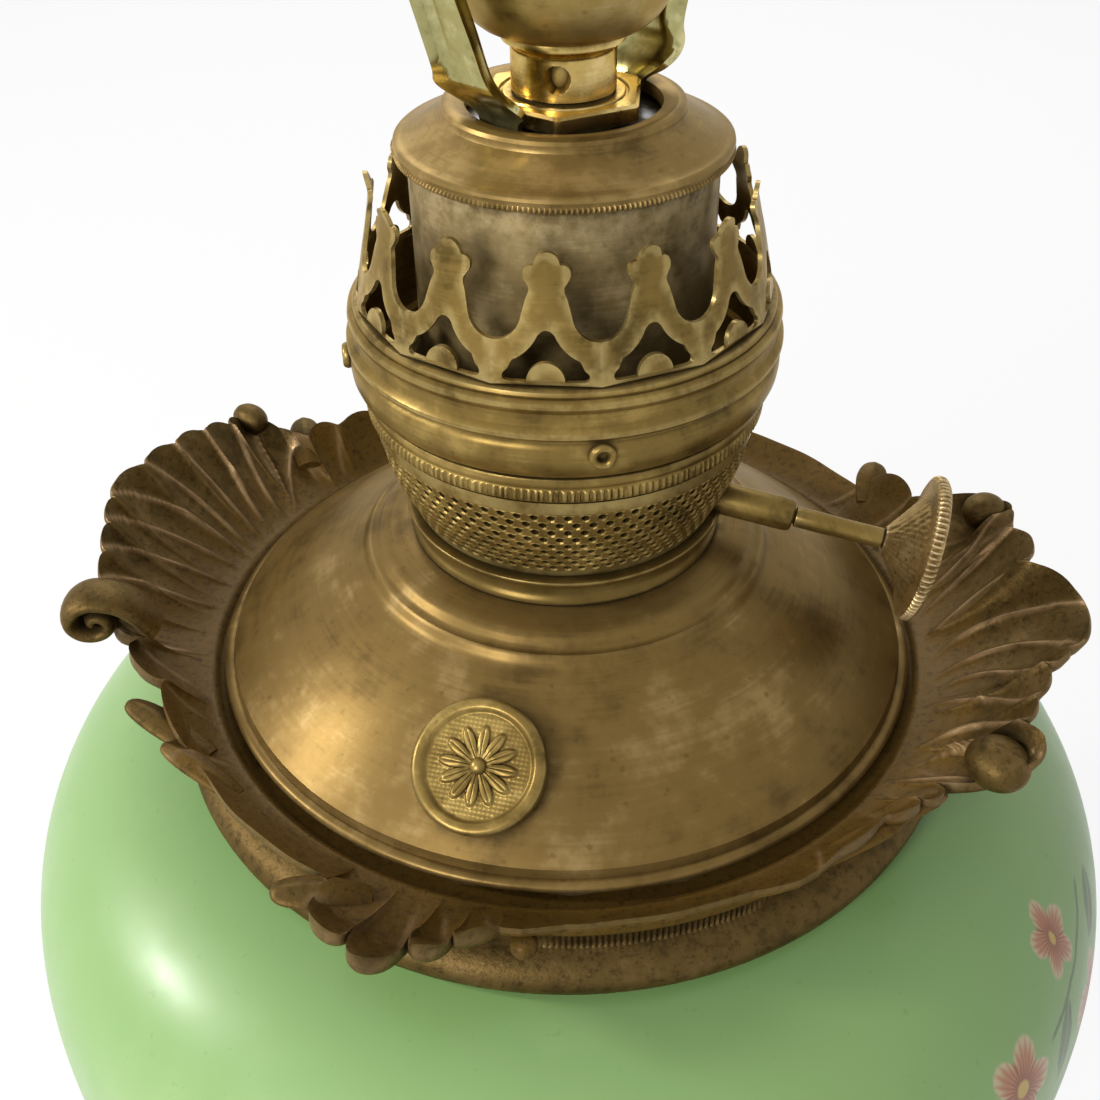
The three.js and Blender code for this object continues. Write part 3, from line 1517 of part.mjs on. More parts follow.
const shellOuter = socket.bellRadius - socket.wall - runningGap;
const shellInner = shellOuter - socket.wall;
const linerOuter = shellInner - seatGap;
const linerInner = linerOuter - socket.linerThickness;
const bodyRadius = linerInner - seatGap;
const shellBottom = bellTop + socket.wall;
const shellSeam = socketCapTop + seatGap;
const shellProfile = [
  [shellInner, shellBottom],
  [shellOuter, shellBottom],
  [shellOuter, shellSeam],
  [socket.bellRadius, shellSeam],
  [socket.bellRadius, shellSeam + socket.shellBead * 2],
  [shellOuter, shellSeam + socket.shellBead * 3],
  [shellOuter, socket.shellTopLevel - socket.shellBead],
  [shellOuter + socket.shellBead / 2, socket.shellTopLevel],
  [shellInner - socket.shellBead, socket.shellTopLevel],
  [shellInner - socket.shellBead, socket.shellTopLevel - socket.wall],
  [shellInner, socket.shellTopLevel - socket.wall],
];
const wideKeyWay = keyTool(socket.keySlotRadius, switchKey.root, socket.bellRadius * 2);
piece("socket", "socket_shell", cut(revolve(shellProfile, roundSteps.medium), wideKeyWay), polishedBrass);
const linerTop = socket.shellTopLevel - socket.wall - seatGap;
const liner = ring(linerInner, linerOuter, shellBottom, linerTop, roundSteps.medium);
piece("socket", "socket_liner", cut(liner, wideKeyWay), paleFibre);
const keyWayRadius = switchKey.stemRadius + runningGap;
const narrowKeyWay = keyTool(keyWayRadius, switchKey.root - runningGap, socket.bellRadius);
const moulding = disc(bodyRadius, socketBody.bottomLevel, socketBody.topLevel, roundSteps.small);
piece("socket", "socket_body", cut(moulding, narrowKeyWay), castPorcelain);

// Screw shell: a rolled thread in thin sheet, drawn as a wavy revolve
const threadSteps = screwShell.threads * 2;
const threadRadius = bodyRadius - seatGap;
const threadBottom = socketBody.topLevel + seatGap;
const threadWall = Array.from({ length: threadSteps + 1 }, (_, i) => [
  threadRadius - (i % 2) * screwShell.threadDepth,
  mix(threadBottom, screwShell.topLevel, i / threadSteps),
]);
const threadInner = threadWall.map(([radius, level]) => [radius - screwShell.wall, level]).reverse();
piece("socket", "screw_shell", revolve([...threadWall, ...threadInner], roundSteps.small), polishedBrass);
const tongue = [
  [-contact.length / 2, 0],
  [0, 0],
  [contact.length / 2, contact.rise],
  [contact.length / 2, contact.rise + contact.thickness],
  [0, contact.thickness],
  [-contact.length / 2, contact.thickness],
];
const tongueBody = prism(tongue, contact.width).translate(0, 0, -contact.width / 2).rotateX(Math.PI / 2);
piece("socket", "centre_contact", outward(tongueBody.translate(0, 0, threadBottom)), polishedBrass);
const stemEnd = switchKey.root + switchKey.stemLength;
const keyStem = keyTool(switchKey.stemRadius, switchKey.root, stemEnd + switchKey.height / 2);
piece("socket", "switch_stem", keyStem, plainSteel);
const heelRadius = switchKey.height / 2;
const tipRise = switchKey.width / 2 - switchKey.thickness;
const paddleOutline = [
  ...arcPoints([heelRadius, 0], heelRadius, 210, 150, 2),
  ...arcPoints([switchKey.height, tipRise], switchKey.thickness, 100, 0, 3),
  ...arcPoints([switchKey.height, -tipRise], switchKey.thickness, 0, -100, 3),
];
const paddleThickness = switchKey.stemRadius * 2 + switchKey.thickness;
const paddle = prism(paddleOutline, paddleThickness).translate(stemEnd, 0, -paddleThickness / 2);
const boreEnd = stemEnd + switchKey.height * switchKey.boreShare;
const keyBore = disc(switchKey.stemRadius + seatGap, 0, boreEnd, roundSteps.tiny);
const keyBody = cut(outward(paddle), keyBore.rotateY(Math.PI / 2)).translate(0, 0, socket.keyLevel);
piece("socket", "switch_key", around(keyBody, socket.keyDirection), blackMoulding);

export default lamp;
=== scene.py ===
"""Visual model of an electrified parlour oil lamp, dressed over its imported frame.

The sizes of every class are millimetres, and levels are heights over the rim of the font's dome,
as in the part's own source. Solid.piece turns them into metres over the table.
"""

import logging
import math
import random
from dataclasses import dataclass, replace
from enum import Enum
from typing import Callable, Iterable, Sequence, Union

import bmesh
import bpy
import numpy as np
from mathutils import Matrix, Vector
from mathutils.geometry import delaunay_2d_cdt


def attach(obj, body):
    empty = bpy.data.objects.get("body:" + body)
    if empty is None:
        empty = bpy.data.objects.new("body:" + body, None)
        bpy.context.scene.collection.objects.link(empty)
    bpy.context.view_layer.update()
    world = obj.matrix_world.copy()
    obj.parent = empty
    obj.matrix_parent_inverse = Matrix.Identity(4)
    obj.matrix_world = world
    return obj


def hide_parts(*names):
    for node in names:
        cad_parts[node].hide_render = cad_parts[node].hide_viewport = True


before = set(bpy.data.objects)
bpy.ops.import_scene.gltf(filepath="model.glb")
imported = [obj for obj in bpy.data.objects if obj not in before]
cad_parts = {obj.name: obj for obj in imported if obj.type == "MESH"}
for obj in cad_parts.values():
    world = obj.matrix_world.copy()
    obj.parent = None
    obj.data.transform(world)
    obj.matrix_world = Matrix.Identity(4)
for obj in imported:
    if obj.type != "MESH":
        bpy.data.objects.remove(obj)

log = logging.getLogger("lamp")

RIM_HEIGHT = 193.0
MILLI = 1000.0
WHITE = (1, 1, 1)

Colour = tuple[float, float, float]
Point = tuple[float, float, float]
Profile = list[tuple[float, float]]
Number = Union["Value", float]
Spread = Union[float, np.ndarray]
Swell = Callable[[np.ndarray, int], np.ndarray]


# Shader expressions


class Value:
    """One number in a node tree; an expression on it adds Math nodes."""

    def __init__(self, tree: "NodeTree", socket: bpy.types.NodeSocket) -> None:
        """Keeps the tree and the output socket."""
        self.tree = tree
        self.socket = socket

    def math(self, operation: str, *others: Number, flipped: bool = False) -> "Value":
        """Adds one Math node on this value.

        Args:
            operation: the Math node's operation.
            others: the values or numbers of its other sockets.
            flipped: True where this value is the second operand.

        Returns:
            The node's result.
        """
        operands = [self, *others]
        if flipped:
            operands.reverse()
        return self.tree.add("Math", dict(enumerate(operands)), operation=operation)

    def __add__(self, other: Number) -> "Value":
        """self + other, either way round."""
        return self.math("ADD", other)

    __radd__ = __add__

    def __sub__(self, other: Number) -> "Value":
        """self - other."""
        return self.math("SUBTRACT", other)

    def __rsub__(self, other: Number) -> "Value":
        """other - self."""
        return self.math("SUBTRACT", other, flipped=True)

    def __mul__(self, other: Number) -> "Value":
        """self * other, either way round."""
        return self.math("MULTIPLY", other)

    __rmul__ = __mul__

    def __truediv__(self, other: Number) -> "Value":
        """self / other."""
        return self.math("DIVIDE", other)

    def __pow__(self, other: Number) -> "Value":
        """self to the power of other."""
        return self.math("POWER", other)

    def __abs__(self) -> "Value":
        """The value without its sign."""
        return self.math("ABSOLUTE")

    def step(self, low: float, high: float) -> "Value":
        """A smooth step.

        Args:
            low: where the step starts.
            high: where it ends; below low, the step goes down.

        Returns:
            0 before low, 1 after high.
        """
        values = {"Value": self, "From Min": min(low, high), "From Max": max(low, high)}
        risen = self.tree.add("MapRange", values, interpolation_type="SMOOTHSTEP", clamp=True)
        return risen if high > low else 1.0 - risen


class NodeTree:
    """The node tree of a material or of the world."""

    def __init__(self, owner: Union[bpy.types.Material, bpy.types.World]) -> None:
        """Empties the owner's tree.

        Args:
            owner: the material or world.
        """
        owner.use_nodes = True
        self.nodes = owner.node_tree.nodes
        self.links = owner.node_tree.links
        self.nodes.clear()

    def add(self, kind: str, values: dict, output: Union[str, int] = 0, **settings: Union[str, int]) -> Value:
        """Adds one node.

        Args:
            kind: the node's type, without ShaderNode.
            values: numbers, colours or values for its sockets, by name or place.
            output: the output to return.
            settings: the node's properties, which are set first.

        Returns:
            The output, or None for a node without one.
        """
        node = self.nodes.new("ShaderNode" + kind)
        for key, setting in settings.items():
            setattr(node, key, setting)
        for key, value in values.items():
            socket = node.inputs[key]
            if isinstance(value, Value):
                self.links.new(value.socket, socket)
            elif isinstance(value, tuple) and socket.type == "RGBA":
                socket.default_value = (*value, 1)
            else:
                socket.default_value = value
        return Value(self, node.outputs[output]) if node.outputs else None

    def seen(self) -> Value:
        """Tells what a ray is for.

        Returns:
            1 for a camera, mirror or glass ray and 0 for diffuse light.
        """
        camera = self.add("LightPath", {}, "Is Camera Ray")
        rays = camera.socket.node.outputs
        glossy, through = Value(self, rays["Is Glossy Ray"]), Value(self, rays["Is Transmission Ray"])
        return camera.math("MAXIMUM", glossy).math("MAXIMUM", through)


class Tree(NodeTree):
    """The node tree of one finish, with the places and textures that the finishes share."""

    def __init__(self, name: str) -> None:
        """Makes an empty material.

        Args:
            name: the material's name.
        """
        self.material = bpy.data.materials.new(name)
        super().__init__(self.material)
        place = self.add("TexCoord", {}, "Object")
        self.spot = self.vector("MULTIPLY", place, (MILLI, MILLI, MILLI))
        split = self.add("SeparateXYZ", {"Vector": self.spot})
        self.x, self.y, self.z = (Value(self, out) for out in split.socket.node.outputs)
        self.level = self.z - RIM_HEIGHT
        self.reach = (self.x * self.x + self.y * self.y) ** 0.5
        self.bearing = self.y.math("ARCTAN2", self.x)

    def vector(self, operation: str, *operands: Union[Value, Point]) -> Value:
        """Adds one Vector Math node."""
        return self.add("VectorMath", dict(enumerate(operands)), "Vector", operation=operation)

    def join(self, x: Number, y: Number, z: Number) -> Value:
        """A vector of three numbers."""
        return self.add("CombineXYZ", {0: x, 1: y, 2: z})

    def mix(self, low: Union[Value, Colour], high: Union[Value, Colour], share: Number) -> Value:
        """The colour between low, at share 0, and high, at share 1."""
        sockets = {0: share, 6: low, 7: high}
        return self.add("Mix", sockets, 2, data_type="RGBA", clamp_factor=True)

    def noise(self, size: float, detail: float = 4, where: Value = None, rough: float = 0.55) -> Value:
        """Cloudy noise round 0.5 with finer layers; where is in millimetres."""
        values = {"Vector": where or self.spot, "Scale": 1.0 / size, "Detail": detail, "Roughness": rough}
        return self.add("TexNoise", values)

    def cells(self, size: float) -> Value:
        """The distance to the nearest of points scattered about size apart, as a share of size."""
        return self.add("TexVoronoi", {"Vector": self.spot, "Scale": 1.0 / size})

    def hollows(self, distance: float) -> Value:
        """How open the surface is up to a distance: 1 on a free face, less in a corner. The finishes darken
        by it as painted shade.
        """
        return self.add("AmbientOcclusion", {"Distance": distance / MILLI}, "AO", samples=6)

    def edges(self) -> Value:
        """How sharply the surface bends outward; 0.5 is flat."""
        return self.add("NewGeometry", {}, "Pointiness")

    def mark(self, name: str) -> Value:
        """A number stored on the mesh's points; 0 where the mesh has none."""
        return self.add("Attribute", {}, "Fac", attribute_name=name)

    def bump(self, height: Value, depth: float, under: Value = None) -> Value:
        """A bumped normal.

        Args:
            height: the relief, from 0 to 1.
            depth: how deep it is, in millimetres.
            under: the normal of a coarser relief.

        Returns:
            The normal.
        """
        values = {"Strength": 1, "Distance": depth / MILLI, "Height": height}
        if under is not None:
            values["Normal"] = under
        return self.add("Bump", values)

    def finish(self, varied: dict, fixed: dict) -> bpy.types.Material:
        """Closes the tree with one Principled shader.

        Args:
            varied: values that change over the surface, by socket name.
            fixed: plain numbers and colours, by socket name.

        Returns:
            The finished material.
        """
        shader = self.add("BsdfPrincipled", {**fixed, **varied})
        self.add("OutputMaterial", {"Surface": shader})
        return self.material


# Finishes


class Lay(Enum):
    """Which way a finish's fine lines run."""

    NONE = "no lines"
    TURNED = "round the lamp's axis"
    DRAWN = "up the piece"


@dataclass(frozen=True)
class OldMetal:
    """Brass or steel with patina clouds, fine lines, pits, dark dirt and painted shade in hollows, and worn
    edges.
    """

    name: str
    bright: Colour
    plain: Colour
    dark: Colour
    dirt_and_shade_colour: Colour
    worn: Colour
    smooth: float = 0.25
    dull: float = 0.5
    cloud: float = 26.0
    grain: float = 1.1
    lay: Lay = Lay.TURNED
    relief: float = 0.02
    casting: float = 0.0
    corner: float = 3.0
    wear: float = 0.6
    metal: float = 1.0
    slot: str = ""
    rust: Colour = (0.11, 0.058, 0.009)
    tint: Colour = (1, 0.84, 0.58)

    def lines(self, tree: Tree) -> Value:
        """Fine tool or brush lines.

        Args:
            tree: the material's tree.

        Returns:
            A number round 0.5, or the grain noise where the finish has no lines.
        """
        if self.lay is Lay.TURNED:
            run = tree.reach * 2.6 + tree.z * 2.1
            where = tree.join(run, tree.x / tree.reach * 1.5, tree.y / tree.reach * 1.5)
            return tree.noise(1, 3, where, 0.7)
        if self.lay is Lay.DRAWN:
            where = tree.join(tree.x * 1.6, tree.y * 1.6, tree.z * 0.07)
            return tree.noise(1, 3, where, 0.7)
        return tree.noise(self.grain * 2, 3)

    def build(self) -> bpy.types.Material:
        """Makes the material.

        Returns:
            The finished material.
        """
        tree = Tree(self.name)
        clouds = tree.noise(self.cloud, 5, rough=0.6)
        patches = tree.noise(self.cloud * 0.28, 4, rough=0.65)
        grain = tree.noise(self.grain, 3, rough=0.6)
        lines = self.lines(tree)
        open_face = tree.hollows(self.corner)
        tone = clouds * 0.55 + patches * 0.3 + lines * 0.15
        colour = tree.mix(self.dark, self.plain, tone.step(0.36, 0.5))
        colour = tree.mix(colour, self.bright, tone.step(0.5, 0.64) * 0.85)
        specks = (tree.cells(self.grain * 3) + grain * 0.5).step(0.42, 0.3)
        colour = tree.mix(colour, self.dark, specks * 0.45)
        edge = tree.edges().step(0.515, 0.58) * (patches * 1.6).step(0.5, 0.9) * self.wear
        if self.casting:
            edge = edge.math("MAXIMUM", tree.mark("worn") * (0.45 + (patches * 1.6).step(0.45, 0.95) * 0.5))
            rust = (tree.mark("rust") * (0.5 + patches)).step(0.1, 0.8)
            colour = tree.mix(colour, self.rust, rust * (0.35 + grain * 0.9))
            pits = tree.noise(self.grain * 1.8, 4, rough=0.75)
            colour = tree.mix(colour, self.dirt_and_shade_colour, pits.step(0.5, 0.66) * 0.6)
        colour = tree.mix(colour, self.worn, edge)
        # Dirt and painted shade: darker and duller where ambient occlusion finds corners and recesses, broken
        # up by patch noise, plus the painted shade stored on some meshes.
        dirt_and_shade = (open_face + (patches - 0.5) * 0.5).step(0.86, 0.38).math("MAXIMUM", tree.mark("hole_shade_and_dark_bell"))
        if self.casting:
            dirt_and_shade = dirt_and_shade * (1.0 - tree.mark("rust") * 0.75)
        colour = tree.mix(colour, self.dirt_and_shade_colour, dirt_and_shade * 0.9)
        metal = self.metal - dirt_and_shade * 0.3
        rough = self.smooth + (self.dull - self.smooth) * (clouds * 0.6 + grain * 0.4)
        rough = rough + dirt_and_shade * 0.22 - edge * 0.1
        normal = tree.bump(grain * 0.5 + lines * 0.5, self.relief)
        if self.casting:
            normal = tree.bump(tree.noise(self.grain * 2.6, 5, rough=0.7), self.casting, normal)
            metal = metal - rust * 0.45
        varied = {"Base Color": colour, "Roughness": rough, "Metallic": metal, "Normal": normal}
        return tree.finish(varied, {"Specular IOR Level": 0.2, "Specular Tint": self.tint})


@dataclass(frozen=True)
class PlainStuff:
    """A non-metal: moulding, fibre, plaster, cork or porcelain."""

    name: str
    light: Colour
    dark: Colour
    roughness: float
    grain: float
    relief: float
    coat: float = 0.0
    slot: str = ""

    def build(self) -> bpy.types.Material:
        """Makes the material.

        Returns:
            The finished material.
        """
        tree = Tree(self.name)
        clouds = tree.noise(self.grain * 9, 4)
        grain = tree.noise(self.grain, 4, rough=0.7)
        specks = tree.cells(self.grain * 2.2).step(0.32, 0.12)
        colour = tree.mix(self.dark, self.light, (clouds * 0.6 + grain * 0.4).step(0.38, 0.6))
        colour = tree.mix(colour, self.dark, specks * 0.6)
        # Painted shade: darker in corners and recesses, from ambient occlusion.
        colour = tree.mix(colour, self.dark, tree.hollows(3).step(0.8, 0.3) * 0.5)
        rough = self.roughness + (grain - 0.5) * 0.3
        normal = tree.bump(grain * 0.7 + clouds * 0.3, self.relief)
        fixed = {"Coat Weight": self.coat, "Coat Roughness": 0.1}
        return tree.finish({"Base Color": colour, "Roughness": rough, "Normal": normal}, fixed)


@dataclass(frozen=True)
class Blossom:
    """A painted open flower of five petals: where it is on the glass, how wide and how far turned."""

    across: float
    up: float
    radius: float
    turn: float


@dataclass(frozen=True)
class Leaf:
    """A painted pointed leaf: its middle, half length, half width and direction."""

    across: float
    up: float
    length: float
    width: float
    turn: float


@dataclass(frozen=True)
class Stem:
    """A painted stem: a shallow arch between two points."""

    left: float
    right: float
    level: float
    slope: float
    arch: float


@dataclass(frozen=True)
class PaintedGlass:
    """Opaque green glass with a fired wash of colour, painted shade under the collar and sprigs of painted
    flowers.
    """

    name: str = "green_glass"
    slot: str = ""
    green: Colour = (0.25, 0.415, 0.145)
    pale: Colour = (0.42, 0.56, 0.27)
    deep: Colour = (0.14, 0.27, 0.075)
    cream: Colour = (0.62, 0.50, 0.33)
    pink: Colour = (0.50, 0.17, 0.10)
    red: Colour = (0.26, 0.03, 0.022)
    yolk: Colour = (0.62, 0.40, 0.10)
    leaf: Colour = (0.06, 0.11, 0.028)
    vein: Colour = (0.20, 0.27, 0.09)
    belt: float = -68.2
    round_middle: float = 54.0
    round_radius: float = 56.0
    directions: tuple[float, ...] = (-37, 143)
    blossoms: tuple[Blossom, ...] = (
        Blossom(-15, 27, 9, 0.3),
        Blossom(9, 38, 7, 1.1),
        Blossom(17, 16, 10.5, 0),
        Blossom(-7, 4, 7.5, 0.8),
    )
    leaves: tuple[Leaf, ...] = (
        Leaf(-25, 15, 8, 3.2, -0.7),
        Leaf(1, 23, 7.5, 3, 0.9),
        Leaf(27, 30, 7, 2.8, 0.5),
        Leaf(5, -8, 8.5, 3.4, -0.5),
        Leaf(-17, -7, 7.5, 3, 0.6),
        Leaf(24, -3, 7, 2.8, -1.1),
    )
    stems: tuple[Stem, ...] = (
        Stem(-30, 24, 14, 0.25, -0.010),
        Stem(-12, 28, -4, -0.12, 0.012),
        Stem(-5, 27, 28, 0.15, 0.006),
    )

    def build(self) -> bpy.types.Material:
        """Makes the material.

        Returns:
            The finished material.
        """
        tree = Tree(self.name)
        clouds = tree.noise(42, 4, rough=0.5)
        streaks = tree.noise(1, 4, tree.join(tree.x / 22, tree.y / 22, tree.z / 70))
        tone = clouds * 0.6 + streaks * 0.4
        colour = tree.mix(self.green, self.pale, tone.step(0.5, 0.72) * 0.35)
        # Painted shade: the glass is darkened in a band under the collar's overhang.
        shade_under_collar = tree.reach.step(92, 72) * tree.level.step(-40, -20)
        colour = tree.mix(colour, self.deep, shade_under_collar * (0.3 + streaks * 0.4))
        colour = tree.mix(colour, self.pale, tree.level.step(-92, -132) * 0.5)
        up = (tree.level - self.belt).math("ARCTAN2", tree.reach - self.round_middle) * self.round_radius
        for direction in self.directions:
            aside = (tree.bearing - math.radians(direction) + 3 * math.pi).math("FLOORED_MODULO", 2 * math.pi)
            across = (aside - math.pi) * tree.reach
            colour = self.sprig(colour, across, up)
        specks = tree.noise(2.2, 2).step(0.69, 0.74)
        colour = tree.mix(colour, self.deep, specks * 0.25)
        rough = 0.26 + tree.noise(9, 3) * 0.2
        normal = tree.bump(tree.noise(16, 2), 0.08)
        fixed = {"Coat Weight": 0.1, "Coat Roughness": 0.2, "IOR": 1.45}
        return tree.finish({"Base Color": colour, "Roughness": rough, "Normal": normal}, fixed)

    def sprig(self, colour: Value, across: Value, up: Value) -> Value:
        """Paints one sprig.

        Args:
            colour: the colour under it.
            across: millimetres round the glass from the sprig's middle.
            up: millimetres over the belt along the glass.

        Returns:
            The colour with the sprig on it.
        """
        tree = colour.tree
        hand = (tree.noise(5, 3) - 0.5) * 2.4
        wander = across + hand
        for stem in self.stems:
            line = up + hand * 0.5 - (across * across * stem.arch + across * stem.slope + stem.level)
            inside = (across - stem.left).step(0, 3) * (stem.right - across).step(0, 3)
            colour = tree.mix(colour, self.leaf, abs(line).step(0.75, 0.2) * inside * 0.8)
        for leaf in self.leaves:
            colour = self.leaf_mark(colour, wander, up, leaf)
        for blossom in self.blossoms:
            colour = self.blossom_mark(colour, wander, up, blossom)
        return colour

    def leaf_mark(self, colour: Value, across: Value, up: Value, leaf: Leaf) -> Value:
        """Paints one leaf with its vein.

        Args:
            colour: the colour under it.
            across: millimetres round the glass.
            up: millimetres along the glass.
            leaf: the leaf's place and size.

        Returns:
            The colour with the leaf on it.
        """
        mix = colour.tree.mix
        cosine, sine = math.cos(leaf.turn), math.sin(leaf.turn)
        right, rise = across - leaf.across, up - leaf.up
        along = (right * cosine + rise * sine) / leaf.length
        aside = (rise * cosine - right * sine) / leaf.width
        shape = (1.0 - along * along - abs(aside)).step(-0.05, 0.2)
        vein = abs(aside).step(0.22, 0.05)
        shade = mix(self.leaf, self.vein, vein * 0.8 + aside.step(-0.4, 1) * 0.3)
        return mix(colour, shade, shape * 0.92)

    def blossom_mark(self, colour: Value, across: Value, up: Value, blossom: Blossom) -> Value:
        """Paints one flower: five petals from a red throat to a cream edge.

        Args:
            colour: the colour under it.
            across: millimetres round the glass.
            up: millimetres along the glass.
            blossom: the flower's place and size.

        Returns:
            The colour with the flower on it.
        """
        mix = colour.tree.mix
        right, rise = across - blossom.across, up - blossom.up
        ray = (right * right + rise * rise) ** 0.5 / blossom.radius
        angle = rise.math("ARCTAN2", right) + blossom.turn
        lobe = abs((angle * 2.5).math("COSINE"))
        outline = 0.62 + lobe * 0.38
        shape = (outline - ray).step(-0.02, 0.1)
        strokes = abs((angle * 15).math("SINE")) * 0.3
        petal = mix(self.red, self.pink, (ray + strokes).step(0.3, 0.75))
        petal = mix(petal, self.cream, (ray - outline * 0.7 + strokes * 0.6).step(0, 0.4))
        petal = mix(petal, self.red, lobe.step(0.28, 0.02) * ray.step(0.1, 0.5) * 0.7)
        petal = mix(petal, self.yolk, ray.step(0.2, 0.12))
        return mix(colour, petal, shape * 0.86)


Finish = Union[OldMetal, PlainStuff, PaintedGlass]


# Meshes


def around(steps: int) -> np.ndarray:
    """Even angles round a circle, from 0."""
    return np.arange(steps) * 2 * math.pi / steps


def laid(radius: Spread, angle: Spread, level: Spread) -> np.ndarray:
    """Points in space from their radii, angles and levels."""
    return np.stack(np.broadcast_arrays(radius * np.cos(angle), radius * np.sin(angle), level), axis=-1)


def polar(direction: float, reach: float, level: float) -> np.ndarray:
    """A point from its direction in degrees, its reach and its level."""
    return laid(reach, math.radians(direction), level)


def spun(degrees: float) -> Matrix:
    """A turn about the Z axis."""
    return Matrix.Rotation(math.radians(degrees), 4, "Z")


def unit(vectors: np.ndarray) -> np.ndarray:
    """The directions of vectors."""
    return vectors / np.linalg.norm(vectors, axis=1)[:, None]


def circle(radius: float, steps: int) -> np.ndarray:
    """Flat points round a circle, counter-clockwise."""
    return laid(radius, around(steps), 0)[:, :2]


def spline(points: Sequence[Sequence[float]], steps: int) -> np.ndarray:
    """A smooth curve through points.

    Args:
        points: the points, of any dimension.
        steps: how many steps each span is given.

    Returns:
        The curve's points.
    """
    knots = np.asarray(points, float)
    last = len(knots) - 1
    made = []
    for i in range(last):
        before, start, end, after = (knots[min(max(pick, 0), last)] for pick in range(i - 1, i + 3))
        for step in range(steps):
            t = step / steps
            curve = 2 * start + (end - before) * t
            curve = curve + (2 * before - 5 * start + 4 * end - after) * t**2
            curve = curve + (3 * start - before - 3 * end + after) * t**3
            made.append(curve / 2)
    made.append(knots[-1])
    return np.array(made)


def softened(profile: Profile, radius: float, steps: int = 3) -> Profile:
    """Rounds the corners of a closed profile.

    Args:
        profile: the corners, as radius and level.
        radius: how far along its sides a corner is rounded.
        steps: how many steps an arc is given.

    Returns:
        The rounded profile.
    """
    corners = [np.array(corner, float) for corner in profile]
    made: Profile = []
    for i, corner in enumerate(corners):
        before, after = corners[i - 1], corners[(i + 1) % len(corners)]
        back, ahead = np.linalg.norm(before - corner), np.linalg.norm(after - corner)
        start = corner + (before - corner) * min(radius / back, 0.45)
        end = corner + (after - corner) * min(radius / ahead, 0.45)
        for step in range(steps + 1):
            t = step / steps
            made.append(tuple(start * (1 - t) ** 2 + corner * 2 * t * (1 - t) + end * t**2))
    return made


